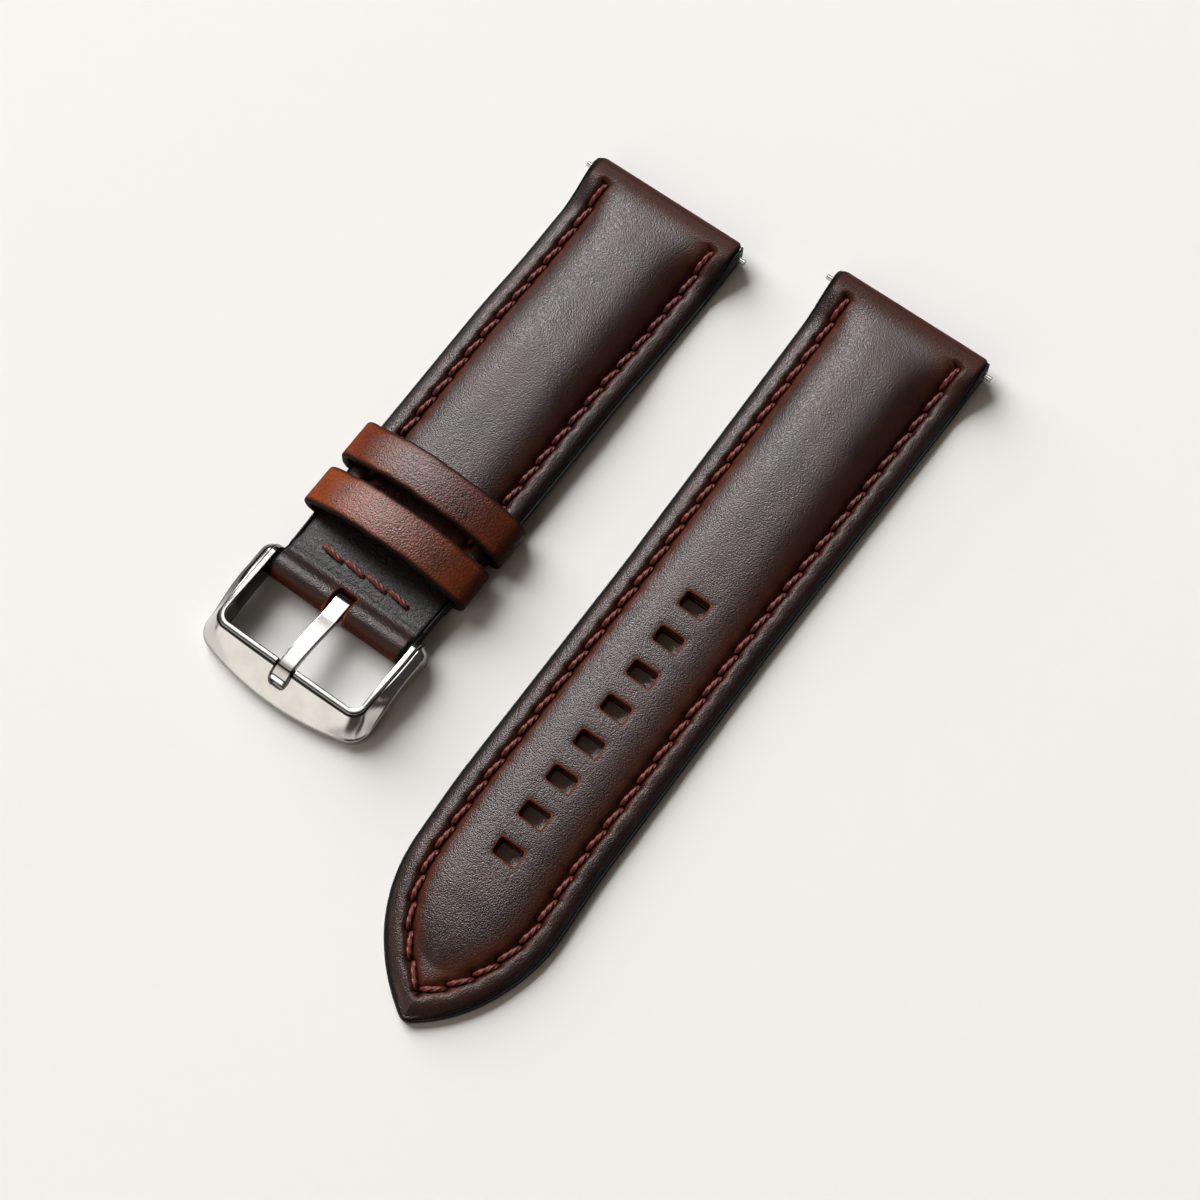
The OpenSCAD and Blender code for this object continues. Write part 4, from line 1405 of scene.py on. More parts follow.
@dataclass
class Keeper:
    """A closed leather band round the short half."""

    half: ShortHalf
    material: Material
    name: str
    body: str
    s: float
    z0: float
    under_t: float
    wobble: float
    width: float = 6.0
    thick: float = 1.1
    in_half: float = 12.05
    in_crown: float = 6.65
    rise: float = 2.5
    corner_r: float = 2.6
    corner_turn: float = 66.0

    def outline(self, z0: float, grown: float) -> Array:
        """Outline seen along the strap: low corners, sides, top corners and an arched top.

        The arch falls with the square of the way out and begins where each top corner's arc
        ends.

        Args:
            z0: Height of the lowest point.
            grown: Distance out from the band's inner face.

        Returns:
            Points (y, z) once round.
        """
        w, first = self.in_half + grown, self.corner_r - self.thick
        r = first + grown
        low = min(r, 0.6 + grown)
        foot_turn = quarter(11)
        turn = np.linspace(0, math.radians(self.corner_turn), 13)
        core = self.in_crown - self.rise - first * math.sin(turn[-1])
        u = np.linspace(1, -1, 49)[1:-1]
        lower = np.stack([w - low + low * np.sin(foot_turn),
                          z0 + low - low * np.cos(foot_turn)], -1)
        upper = arc(w - r, core, r, turn)
        side = mix(lower[-1], upper[0], np.linspace(0, 1, 6)[1:-1, None])
        right = np.vstack([lower, side, upper])
        far, spring = upper[-1]
        arch = np.stack([far * u, spring + (self.in_crown + grown - spring) * (1 - u ** 2)], -1)
        left = right[::-1] * np.array([-1.0, 1.0])
        base = mix(left[-1], right[0], np.linspace(0, 1, 24)[1:-1, None])
        return np.vstack([right, arch, left, base])

    def build(self) -> Piece:
        """The band, its edges a little uneven as cut leather is.

        Returns:
            The piece.
        """
        middle, half_w = self.s + self.width / 2, self.width / 2
        inner, outer = (np.insert(self.outline(z, grown), 0, middle, axis=1) for z, grown in
                        ((self.z0 + self.under_t, 0.0), (self.z0, self.thick)))
        section = rounded_section(self.width, self.thick, 0.42, 9, 5)
        shell = lofted(inner, outer, section, np.array([1.0, 0.0, 0.0]), True)
        share, place = shell.marks["share"], shell.marks["place"]
        x, y, z = shell.points.T
        wave = np.sin(y * 0.61 + self.wobble) * 0.05 + np.sin(y * 1.7 + 2 * self.wobble) * 0.03
        proud = 0.08 * (1 - (2 * place / self.width) ** 2) * share * ease(3.5, 6.0, z)
        points = np.stack([x + wave * ease(2.5, 4.5, z), y, z + proud], -1)
        # Painted shade on the band's outer side walls, deepest towards the floor at its ends.
        side = ease(12.1, 12.9, np.abs(y)) + ease(4.5, 2.0, z) * (np.abs(y) > 10)
        shell = Shell(points, shell.quads, {
            "rim": bell(np.abs(place) - (half_w - 0.75), 0.45) * ease(2, 4.5, z),
            "corner": bell(np.maximum(11.6 - np.abs(y), 0), 3.4) * ease(1.5, 3.5, z),
            "edge": ease(half_w - 0.7, half_w - 0.15, np.abs(place)),
            "side": np.clip(side, 0, 1), "inside": (share < 0.2).astype(float)})
        piece = make_piece(f"{self.name}_band", shell.moved(self.half.x0, self.half.y0),
                           self.material)
        return hung(piece, self.name, self.body)


@dataclass
class Buckle:
    """Pin buckle: a bevelled frame and a tongue, drawn about the bar's axis."""

    half: ShortHalf
    steel: Material
    inner_half: float = 11.0
    arm_t: float = 2.3
    reach: float = 15.7
    window: float = 10.7
    bulge: float = 1.4
    corner_out: float = 3.0
    corner_in: float = 1.3
    front_half: float = 11.0762
    ear_r: float = 2.1
    ear_narrow: float = 1.5
    height: float = 4.7
    arm_foot: float = -1.75
    wall_foot: float = 1.7
    ridge_w: float = 0.85
    tongue_w: float = 2.4
    tongue_t: float = 1.0
    tongue_reach: float = 13.4
    curl_in: float = 0.86
    curl_out: float = 1.6
    rest: float = 0.12
    notch_depth: float = 0.95
    notch_room: float = 0.25

    @property
    def top(self) -> float:
        """Height of the frame's top over the bar's axis."""
        return self.height - self.half.bar_z

    @property
    def foot(self) -> float:
        """Height of the frame's foot over the bar's axis."""
        return -self.half.bar_z

    def piece(self, name: str, shell: Shell, line: Array, node: str, body: str) -> Piece:
        """Makes a piece with painted shade marked on its metal, from a shell about the bar's axis.

        Args:
            name: The piece's name.
            shell: Its surface.
            line: How much shade is painted on the metal at each point.
            node: Node that it replaces.
            body: Body that carries it.

        Returns:
            The piece.
        """
        h = self.half
        shell = Shell(shell.points, shell.quads, {"line": line.ravel()})
        piece = make_piece(name, shell.moved(h.x0 + h.bar_s, h.y0, h.bar_z), self.steel)
        return hung(piece, node, body)

    def outlines(self) -> tuple[Array, Array]:
        """Matching points of the window and of the frame's outline, from ear to ear.

        Along an arm both run side by side, its ear is rounded, round the corner each follows its
        own arc, and across the front the window is straight while the outline bows by 1 - u^2.

        Returns:
            Points (x, y) of the window and of the outline.
        """
        w, half = self.inner_half, self.inner_half + self.arm_t
        x1, r_in, r_out = self.reach - self.bulge, self.corner_in, self.corner_out
        ear = -self.ear_r * np.sin(np.linspace(np.pi / 2, 0, 12))[:-1]
        arm_in, arm_out = (np.concatenate([ear, np.linspace(0, far, 20)])
                           for far in (self.window - r_in, x1 - r_out))
        ear_in = self.ear_narrow * sag(np.minimum(arm_in / self.ear_r, 0))
        turn_in, turn_out = (np.radians(np.linspace(90, last, 17))[1:] for last in (0, 15))
        y_front = np.concatenate([np.linspace(0, 2.2, 34),
                                  np.linspace(2.2, self.front_half, 18)[1:]]) / self.front_half
        t = np.concatenate([y_front[::-1], -y_front[1:]])[1:-1]
        side_in = np.vstack([np.stack([arm_in, 0 * arm_in + w], -1),
                             arc(self.window - r_in, w - r_in, r_in, turn_in)])
        side_out = np.vstack([np.stack([arm_out, half - ear_in], -1),
                              arc(x1 - r_out, half - r_out, r_out, turn_out)])
        front_in = np.stack([0 * t + self.window, (w - r_in) * t], -1)
        front_out = np.stack([x1 - 0.1 + (self.bulge + 0.1) * (1 - t * t),
                              (half - r_out + 0.8) * t], -1)
        flip = np.array([1.0, -1.0])
        return (np.vstack([side_in, front_in, side_in[::-1] * flip]),
                np.vstack([side_out, front_out, side_out[::-1] * flip]))

    def notch_floor(self, x: Array) -> Array:
        """Level over the ridge, then three quarters as steep as the bevel."""
        ridge = self.window + self.ridge_w
        slope = (self.top - (self.foot + self.wall_foot)) / (self.reach - 0.3 - ridge)
        return self.top - self.notch_depth - np.maximum(0, x - ridge) * slope * 0.75

    def frame(self) -> Piece:
        """The frame: one section swept from ear to ear.

        The section goes up the window's wall, over a flat ridge and a fine step outside it, down
        a long bevel and a short outer wall, and its corners are rounded. Painted shade dims the
        window's wall and the ridge, darkens the step and a line low on the outer wall, and covers
        the far arm.

        Returns:
            The piece.
        """
        inner, outer = self.outlines()
        span = np.linalg.norm(outer - inner, axis=1)[:, None]
        x = inner[:, 0:1]
        zt = mix(self.ear_r - 0.04, self.top, ease(0, 7.5, x))
        arm = mix(self.arm_foot, self.foot, ease(4.5, 9.5, x))
        zb = mix(0.06 - self.ear_r, arm, ease(0, 3.5, x))
        back = np.sqrt(np.maximum(self.ear_r ** 2 - x ** 2, 0.0))
        zt = np.where(x < 0, np.minimum(zt, back), zt)
        zb = np.where(x < 0, np.maximum(zb, -back), zb)
        tall = zt - zb
        scale = np.clip(tall / 1.2, 0.02, 1)
        lip = mix(zt - 0.8 * scale, zb + 0.36 * tall, ease(3.0, 9.5, x))
        ridge, bevel = self.ridge_w, np.linspace(0, 1, 26)[None, :]
        bow = 0.16 * np.sin(np.pi * bevel) * np.minimum(1, (span - ridge) / 3)
        wall = np.array([0.5, 0.25, 0.08, 0, 0, 0, 0.03, 0.1, 0.22])
        step = np.array([-0.16, -0.06, 0, 0.05, 0.16])
        d = np.hstack([wall + 0 * x, ridge * 0.5 + 0 * x, ridge + step + 0 * x,
                       mix(ridge + 0.3, span - 0.28, bevel),
                       span - np.array([0.14, 0.04, 0, 0, 0.06, 0.22, 0.5])])
        z = np.hstack([zb + np.array([0, 0.03, 0.12, 0.3]) * scale, mix(zb, zt, 0.5),
                       zt - np.array([0.24, 0.1, 0.03, 0, 0, 0, 0.02, 0.1, 0.3, 0.36]) * scale,
                       mix(zt - 0.32 * scale, lip, bevel) + bow * scale,
                       lip - np.array([0.12, 0.32, 0.5]) * scale,
                       zb + np.array([0.42, 0.18, 0.05, 0]) * scale])
        d = np.minimum(d, span)
        flat = inner[:, None] + d[..., None] * ((outer - inner) / span)[:, None]
        z = self.notched(flat[..., 0], flat[..., 1], z)
        # Painted shade: dims the window's wall and ridge, darkens the step and a line on the outer
        # wall, and covers the far arm.
        dark = np.zeros(z.shape[1])
        dark[3:6], dark[6:12] = 0.5, 0.62
        dark[12:16], dark[-7:-4] = (0.7, 1.0, 1.0, 0.35), (0.3, 0.7, 0.5)
        far_arm = ease(-9.0, -10.5, inner[:, 1:]) * ease(9.5, 7.5, x)
        shade = np.full(z.shape[1], 0.82)
        shade[:8], shade[8:12] = 0.95, 0.7
        shell = swept(np.concatenate([flat, z[..., None]], -1))
        return self.piece("buckle_bevelled_frame", shell, np.maximum(dark, far_arm * shade),
                          "buckle_frame", "buckle")

    def notched(self, x: Array, y: Array, z: Array) -> Array:
        """Heights with the tongue's notch sunk into them, U-shaped with rounded corners.

        Args:
            x: Distance from the bar's axis.
            y: Distance from the middle.
            z: Height there.

        Returns:
            The height that is left.
        """
        half, end, r = self.tongue_w / 2 + self.notch_room, self.tongue_reach + 0.4, 1.0
        gap = r - outside(x - (end - r), np.abs(y) - (half - r))
        cut, floor = ease(0.0, 0.14, gap), self.notch_floor(x)
        return np.where(z > floor, mix(z, np.minimum(z, floor), cut), z)

    def tongue(self) -> Piece:
        """The tongue: a curl round the bar that runs out into a flat pin.

        Its under side climbs as a smooth step from the bar to the notch and then falls with it.

        Returns:
            The piece.
        """
        bend, end = self.window - 1, self.tongue_reach
        rise = self.notch_floor(np.array(0.0)) + self.rest
        turn = np.radians(np.linspace(305, 96, 30))
        x = np.concatenate([np.linspace(0.15, bend, 30), np.linspace(bend, end, 26)[1:]])
        under = np.where(x < bend, mix(0.62, rise, ease(0.5, bend - 1, x)),
                         self.notch_floor(x) + self.rest)
        under = np.maximum(under, np.sqrt(np.maximum(self.curl_in ** 2 - x ** 2, 0)))
        thick = mix(mix(0.74, self.tongue_t, ease(0, 4.5, x)), 0.62, ease(end - 0.7, end, x) ** 2)
        top = np.maximum(under + thick, 1.59 + 0.03 * x)
        low, high = (np.insert(np.vstack([arc(0, 0, r, turn), np.stack([x, z], -1)]), 1, 0, axis=1)
                     for r, z in ((self.curl_in, under), (self.curl_out, top)))
        section = rounded_section(self.tongue_w, self.tongue_t, 0.14, 6, 4)
        shell = lofted(low, high, section, np.array([0.0, 1.0, 0.0]), False)
        along = shell.points[:, 0]
        past = ease(end - 0.55, end, along)
        shell.points[:, 1] *= 1 - 0.05 * ease(2, 9, along) - 0.12 * past ** 2
        # Painted shade dims the tongue, with a painted shadow where it dips into the notch and less
        # shade at its tip.
        ahead = along - self.window
        line = 0.66 + 0.3 * bell(ahead - 0.5, 0.5) - 0.5 * ease(0.7, 1.6, ahead)
        return self.piece("buckle_tongue_pin", shell, line, "buckle_tongue", "tongue")


# ---- Finishes ----


class Signal:
    """An output socket. Arithmetic on it adds Math nodes to its tree."""

    def __init__(self, graph: "Graph", socket: bpy.types.NodeSocket) -> None:
        """Keeps the graph and the socket."""
        self.graph, self.socket = graph, socket

    def _do(self, operation: str, *values: "Signal | float") -> "Signal":
        """The result of a Math node."""
        return self.graph.node("Math", dict(enumerate(values)), operation=operation)

    def __add__(self, other: "Signal | float") -> "Signal":
        """Sum."""
        return self._do("ADD", self, other)

    def __sub__(self, other: "Signal | float") -> "Signal":
        """Difference."""
        return self._do("SUBTRACT", self, other)

    def __rsub__(self, other: float) -> "Signal":
        """Difference, reflected."""
        return self._do("SUBTRACT", other, self)

    def __mul__(self, other: "Signal | float") -> "Signal":
        """Product."""
        return self._do("MULTIPLY", self, other)

    __radd__ = __add__
    __rmul__ = __mul__

    def clipped(self) -> "Signal":
        """Held between zero and one."""
        return self._do("MINIMUM", self._do("MAXIMUM", self, 0.0), 1.0)

    def step(self, low: float, high: float) -> "Signal":
        """Smooth step from low to high."""
        return self.graph.node("MapRange", {0: self, 1: low, 2: high, 3: 0.0, 4: 1.0},
                               interpolation_type="SMOOTHSTEP")


class Graph:
    """A node tree of a material or a world, written with one method for every kind of node."""

    def __init__(self, owner: Material | bpy.types.World) -> None:
        """Starts the owner's empty tree."""
        owner.use_nodes = True
        self.owner, self.tree = owner, owner.node_tree
        self.tree.nodes.clear()

    @classmethod
    def named(cls, name: str) -> "Graph":
        """A new material's tree."""
        return cls(bpy.data.materials.new(name))

    def node(self, kind: str, inputs: dict, output: int | str | None = 0,
             **settings: str) -> Signal:
        """Adds a node.

        Args:
            kind: The node's type, less its first words.
            inputs: Values, colours or signals for its sockets, by name or number.
            output: The socket that is handed back.
            **settings: The node's properties.

        Returns:
            The chosen output.
        """
        made = self.tree.nodes.new("ShaderNode" + kind)
        for key, value in settings.items():
            setattr(made, key, value)
        for key, value in inputs.items():
            if isinstance(value, Signal):
                self.tree.links.new(value.socket, made.inputs[key])
            else:
                made.inputs[key].default_value = tone(value) if isinstance(value, str) else value
        return Signal(self, None if output is None else made.outputs[output])

    def mark(self, name: str) -> Signal:
        """A named value of the mesh."""
        return self.node("Attribute", {}, "Fac", attribute_name=name)

    def place(self, stretch: tuple[float, float, float] = (1.0, 1.0, 1.0)) -> Signal:
        """Object coordinates in millimetres, stretched along the axes."""
        where = self.node("TexCoord", {}, "Object")
        return self.node("Mapping", {"Vector": where, "Scale": tuple(k / MM for k in stretch)})

    def noise(self, where: Signal, scale: float, detail: float = 4.0, rough: float = 0.6) -> Signal:
        """Noise of about the given number of spots per millimetre."""
        return self.node("TexNoise", {"Vector": where, "Scale": scale, "Detail": detail,
                                      "Roughness": rough})

    def cells(self, where: Signal, scale: float) -> Signal:
        """Distance from the nearest of so many points per millimetre, softly joined."""
        return self.node("TexVoronoi", {"Vector": where, "Scale": scale, "Smoothness": 0.35},
                         feature="SMOOTH_F1")

    def nudged(self, where: Signal, scale: float, reach: float) -> Signal:
        """Coordinates pushed about by a noise, so that a pattern runs unevenly."""
        push = self.node("TexNoise", {"Vector": where, "Scale": scale}, 1)
        push = self.node("VectorMath", {0: push, "Scale": reach}, operation="SCALE")
        return self.node("VectorMath", {0: where, 1: push}, operation="ADD")

    def colours(self, share: Signal | float, a: Signal | Colour, b: Signal | Colour) -> Signal:
        """Colour a turning into b."""
        return self.node("Mix", {0: share, 6: a, 7: b}, 2, data_type="RGBA")

    def coated(self, pattern: Signal, a: Colour, b: Colour,
               *coats: tuple[Signal, Colour]) -> Signal:
        """Colour a turning into b with a pattern, under coats of other colours.

        Args:
            pattern: How far a turns into b.
            a: First tone.
            b: Second tone.
            *coats: Share and colour of each coat.

        Returns:
            The colour.
        """
        base = self.colours(pattern, a, b)
        for share, colour in coats:
            base = self.colours(share, base, colour)
        return base

    def bump(self, height: Signal, depth_mm: float) -> Signal:
        """Normal of a height from zero to one that stands for so many millimetres."""
        return self.node("Bump", {"Strength": 1.0, "Distance": depth_mm * MM, "Height": height})

    def principled(self, base: Signal, rough: Signal | float, normal: Signal, gloss: float = 0.5,
                   metal: float = 0.0) -> Signal:
        """A Principled shader.

        Args:
            base: Colour.
            rough: Roughness.
            normal: Normal.
            gloss: Strength of its plain shine.
            metal: One for metal.

        Returns:
            The shader.
        """
        return self.node("BsdfPrincipled", {"Base Color": base, "Roughness": rough,
                                            "Normal": normal, "Specular IOR Level": gloss,
                                            "Metallic": metal})

    def waxed(self, dull: Signal, base: Signal, rough: Signal, normal: Signal) -> Material:
        """Closes the tree with waxed leather that is matt where it is dull.

        Args:
            dull: How matt it is.
            base: Colour.
            rough: Roughness of the wax.
            normal: Normal.

        Returns:
            The material.
        """
        wax = self.principled(base, rough, normal, 0.45)
        worn = self.principled(base, 0.75, normal, 0.12)
        return self.close(self.node("MixShader", {0: dull, 1: wax, 2: worn}))

    def close(self, shader: Signal) -> Material | bpy.types.World:
        """Links a shader to the owner's output and hands back the owner."""
        kind = "World" if isinstance(self.owner, bpy.types.World) else "Material"
        self.node(f"Output{kind}", {"Surface": shader}, None)
        return self.owner


@dataclass(frozen=True)
class UpperFinish:
    """Waxed dark leather: pebbled, burnished red-brown in its channels, black at its edges, darker
    on its creased end, with shade painted into its needle dips and onto its lug roll.
    """

    name: str = "waxed_upper_leather"
    deep: Colour = "21110b"
    body: Colour = "351d14"
    burnish: Colour = "472010"
    rim: Colour = "8a452c"
    edge: Colour = "0a0605"
    cut: Colour = "4e1f11"
    flat: Colour = "120e0e"

    def material(self) -> Material:
        """Pebble grain in cells of about 0.2 mm over slow mottling and, where marked, creases.

        Returns:
            The material.
        """
        g = Graph.named(self.name)
        where = g.place()
        mottle = g.noise(where, 0.16)
        fine = g.noise(where, 3.0, 3.0)
        cloud = g.noise(where, 0.7, 5.0, 0.65)
        pebble = g.cells(where, 5.2)
        crease = g.noise(g.place((1.4, 0.8, 1.0)), 1.7, 3.0)
        creased, burn, edge, cut, needle_and_roll_shade = (g.mark(name) for name in
                                         ("crease", "burnish", "edge", "cut", "needle_and_roll_shade"))
        patchy = (burn * (0.15 + 0.4 * fine + 1.4 * cloud)).clipped()
        # The creased end turns darker: partly its own tone, partly painted shade beside the
        # keepers.
        base = g.coated(mottle.step(0.3, 0.7), self.deep, self.body, (creased * 0.8, self.flat),
                        (patchy.step(0.1, 0.75), self.burnish), (burn.step(0.8, 1.0), self.rim),
                        (cut, self.cut), ((edge * (1 - cut)).clipped(), self.edge),
                        # Painted shade: the edge colour laid into the needle dips and over the lug
                        # roll.
                        ((needle_and_roll_shade * 0.9).clipped(), self.edge))
        height = fine * 0.4 + mottle * 0.7 + crease * creased * 3.6 - pebble
        rough = 0.35 + 0.2 * (fine - 0.5) + 0.1 * (mottle - 0.5) + 0.1 * creased
        dull = (1.25 * burn + 0.6 * edge + 0.8 * cut).clipped()
        return g.waxed(dull, base, rough, g.bump(height, 0.05))


@dataclass(frozen=True)
class KeeperFinish:
    """Cognac leather: wrinkled grain, orange where it is rubbed, dark at its painted edges, with
    painted shade on its side walls.
    """

    name: str = "burnished_keeper_leather"
    deep: Colour = "371307"
    body: Colour = "54200b"
    rubbed: Colour = "6f2e11"
    edge: Colour = "241008"
    inside: Colour = "22120b"

    def material(self) -> Material:
        """Short wrinkles and pores over slow mottling.

        Returns:
            The material.
        """
        g = Graph.named(self.name)
        where = g.place()
        mottle = g.noise(where, 0.3)
        fine = g.noise(where, 3.4, rough=0.65)
        wrinkle = g.noise(g.nudged(g.place((0.8, 1.2, 1.0)), 1.2, 0.4), 2.6, 5.0, 0.65)
        pores = g.cells(g.nudged(where, 1.8, 0.2), 3.6)
        rim, corner, side, inside, edge = (g.mark(name) for name in
                                           ("rim", "corner", "side", "inside", "edge"))
        rub = (rim * 0.5 + corner * 0.7).clipped() * fine.step(0.3, 0.62)
        # The side coat is painted shade, in the edge colour.
        base = g.coated(mottle.step(0.32, 0.68), self.deep, self.body, (rub, self.rubbed),
                        (side * 0.7, self.edge), (inside, self.inside),
                        (edge.clipped(), self.edge))
        height = wrinkle * 0.8 - pores * 0.9 + fine * 0.5 + mottle * 0.5
        dull = (corner + rim * 0.3 + edge).clipped()
        return g.waxed(dull, base, 0.37 + 0.16 * (fine - 0.5), g.bump(height, 0.055))


@dataclass(frozen=True)
class LiningFinish:
    """Matt chestnut lining leather."""

    name: str = "matt_lining_leather"
    deep: Colour = "6a4429"
    body: Colour = "8b5c3a"
    edge: Colour = "20130f"
    cut: Colour = "33160e"

    def material(self) -> Material:
        """Soft grain with faint pores.

        Returns:
            The material.
        """
        g = Graph.named(self.name)
        where = g.place()
        mottle, fine = g.noise(where, 0.25), g.noise(where, 3.0, 3.0)
        base = g.coated(mottle.step(0.3, 0.7), self.deep, self.body, (g.mark("cut"), self.cut),
                        (g.mark("edge").clipped(), self.edge))
        height = fine * 0.5 - g.cells(where, 4.2) * 0.5
        return g.close(g.principled(base, 0.62 + 0.1 * (fine - 0.5), g.bump(height, 0.04)))


@dataclass(frozen=True)
class PlainFinish:
    """A small part's finish: two tones, a little relief and an even roughness."""

    name: str
    deep: Colour
    body: Colour
    rough: float
    depth: float
    scale: float
    metal: float = 0.0
    stretch: tuple[float, float, float] = (1.0, 1.0, 1.0)
    cut: Colour | None = None
    gloss: float = 0.5

    def material(self) -> Material:
        """Noise between the two tones, and its relief.

        Returns:
            The material.
        """
        g = Graph.named(self.name)
        fine = g.noise(g.place(self.stretch), self.scale)
        coats = [] if self.cut is None else [(g.mark("cut"), self.cut)]
        base = g.coated(fine.step(0.3, 0.7), self.deep, self.body, *coats)
        rough = self.rough + 0.12 * self.rough * (fine - 0.5)
        return g.close(g.principled(base, rough, g.bump(fine, self.depth), self.gloss, self.metal))


@dataclass(frozen=True)
class ThreadFinish:
    """Waxed red-brown thread: fibres wound round each strand."""

    name: str = "waxed_thread"
    deep: Colour = "4c1a10"
    body: Colour = "87392a"
    pale: Colour = "b96a58"

    def material(self) -> Material:
        """Fine bands that run along the strand and wind slowly round it.

        Returns:
            The material.
        """
        g = Graph.named(self.name)
        slant = g.node("Mapping", {"Vector": g.node("TexCoord", {}, "UV"),
                                   "Rotation": (0.0, 0.0, 0.22), "Scale": (2.2, 3.4, 1.0)})
        fibres = g.node("TexWave", {"Vector": slant, "Scale": 0.55, "Distortion": 1.4,
                                    "Detail": 2.0}, 1, bands_direction="Y")
        fine = g.noise(g.place(), 6.0, 3.0)
        base = g.coated(fibres.step(0.15, 0.85), self.deep, self.body,
                        (fine.step(0.55, 0.75) * 0.5, self.pale))
        return g.close(g.principled(base, 0.42 + 0.15 * (fine - 0.5),
                                    g.bump(fibres * 0.8 + fine * 0.4, 0.05)))


@dataclass(frozen=True)
class SteelFinish:
    """Polished steel with faint wear, and painted shade where marked."""

    name: str = "polished_buckle_steel"
    body: Colour = "d9d6d2"
    worn: Colour = "d0cdc8"
    # Colour of the painted shade and dark reflections on the buckle's metal.
    line: Colour = "33302e"
    rough: float = 0.17

    def material(self) -> Material:
        """Hairlines and slow smudges in the roughness, and painted shade and dark reflections where
        marked.

        Returns:
            The material.
        """
        g = Graph.named(self.name)
        smudge = g.noise(g.place(), 0.35)
        hair = g.noise(g.place((0.5, 9.0, 9.0)), 1.2, 2.0, 0.5)
        base = g.coated(smudge.step(0.3, 0.7), self.worn, self.body, (g.mark("line"), self.line))
        rough = self.rough + 0.05 * (smudge - 0.5) + 0.04 * (hair - 0.5)
        return g.close(g.principled(base, rough, g.bump(hair, 0.0005), metal=1.0))


# ---- Studio ----


@dataclass(frozen=True)
class Studio:
    """Pale floor, soft lamps and the camera of the photograph."""

    tilt: float = 21.0
    azimuth: float = 35.281
    distance: float = 318.58
    target: tuple[float, float, float] = (0.322, 7.928, 2.0)
    focal_px: float = 2448.3
    frame_px: float = 1200.0
    roll: float = 0.790
    sensor: float = 36.0
    floor_half: float = 3.0
    floor_gap: float = 2e-5
    pale: Colour = "f5f2ed"
    ground: Colour = "f4f3f1"
    glossy_sky: Colour = "fffaf4"
    diffuse_sky: Colour = "ffe8cc"
    sky_way: tuple[float, float, float] = (0.866, -0.293, 0.406)

    def camera(self) -> None:
        """Camera on a sphere round its target, with up towards the lug ends."""
        tilt, around, roll = (math.radians(a) for a in (self.tilt, self.azimuth, self.roll))
        back = np.array([math.sin(tilt) * math.cos(around), math.sin(tilt) * math.sin(around),
                         math.cos(tilt)])
        up = np.array([-math.cos(around), -math.sin(around), 0.0])
        up -= back * (up @ back)
        up /= np.linalg.norm(up)
        right = np.cross(up, back)
        rolled_right = math.cos(roll) * right + math.sin(roll) * up
        rolled_up = -math.sin(roll) * right + math.cos(roll) * up
        data = bpy.data.cameras.new("camera")
        data.sensor_width = self.sensor
        data.lens = self.sensor * self.focal_px / self.frame_px
        data.clip_start, data.clip_end = 0.01, 20.0
        camera = placed("camera", data)
        place = (np.array(self.target) + back * self.distance) * MM
        matrix = np.eye(4)
        matrix[:3] = np.column_stack([rolled_right, rolled_up, back, place])
        camera.matrix_world = Matrix(matrix.tolist())
        bpy.context.scene.camera = camera

    def lamp(self, name: str, place: tuple[float, float, float], size: float,
             power: float) -> Piece:
        """A square white lamp aimed at the strap's middle, size in metres, power in watts.

        Args:
            name: The lamp's name.
            place: Where it stands, in metres.
            size: Length of its sides.
            power: Its power.

        Returns:
            The lamp.
        """
        data = bpy.data.lights.new(name, "AREA")
        data.size, data.energy = size, power
        lamp = placed(name, data)
        lamp.location, lamp.visible_camera = place, False
        back = lamp.location.normalized()
        lamp.rotation_euler = back.to_track_quat("Z", "Y").to_euler()
        return lamp

    def floor(self) -> None:
        """A wide floor that keeps the shadows and looks pale to the camera."""
        g = Graph.named("pale_floor")
        half, level = self.floor_half, -self.floor_gap
        mesh = bpy.data.meshes.new("floor")
        mesh.from_pydata([(-half, -half, level), (half, -half, level), (half, half, level),
                          (-half, half, level)], [], [(0, 1, 2, 3)])
        mesh.materials.append(g.close(g.node("BsdfDiffuse", {"Color": self.ground})))
        placed("floor", mesh)

    def sky(self) -> None:
        """World: pale to the camera, and for reflections bright low down on the buckle's side."""
        bpy.context.scene.world = bpy.data.worlds.new("studio")
        g = Graph(bpy.context.scene.world)
        way = g.node("TexCoord", {}, "Generated")
        side = g.node("VectorMath", {0: way, 1: self.sky_way}, "Value", operation="DOT_PRODUCT")
        bright = 0.05 + 1.1 * side.step(0.83, 0.94)
        spread, seen = (g.node("LightPath", {}, f"Is {kind} Ray") for kind in ("Diffuse", "Camera"))
        soft = g.node("Background", {"Color": g.colours(spread, self.glossy_sky, self.diffuse_sky),
                                     "Strength": bright})
        plain = g.node("Background", {"Color": self.pale, "Strength": 1.0})
        g.close(g.node("MixShader", {0: seen, 1: soft, 2: plain}))

    def build(self) -> None:
        """Sets up everything that isn't the strap."""
        bpy.context.scene.view_settings.view_transform = "Standard"
        self.camera()
        self.floor()
        self.sky()
        for shine in (("key", (-1.12, -1.51, 1.79), 1.05, 76.0),
                      ("over", (-0.84, -0.48, 1.75), 1.05, 14.4),
                      ("glint", (-0.37, -0.6, 1.87), 0.35, 0.4)):
            self.lamp(*shine).visible_diffuse = False
        self.lamp("low", (-1.5, -4.05, 2.45), 4.4, 532.0).visible_glossy = False


def dress_bars(nodes: dict[str, Piece], finishes: dict[str, Material]) -> None:
    """Gives the carried-over bars, tips, levers and springs their finishes.

    Args:
        nodes: The frame's nodes, by name.
        finishes: All finishes, by plain name.
    """
    kinds = {"barrel": "turned", "spring": "wire", "tip": "turned", "lever": "turned"}
    for name, node in nodes.items():
        for word, finish in kinds.items():
            if name.endswith(word):
                for slot in node.material_slots:
                    slot.material = finishes[finish]


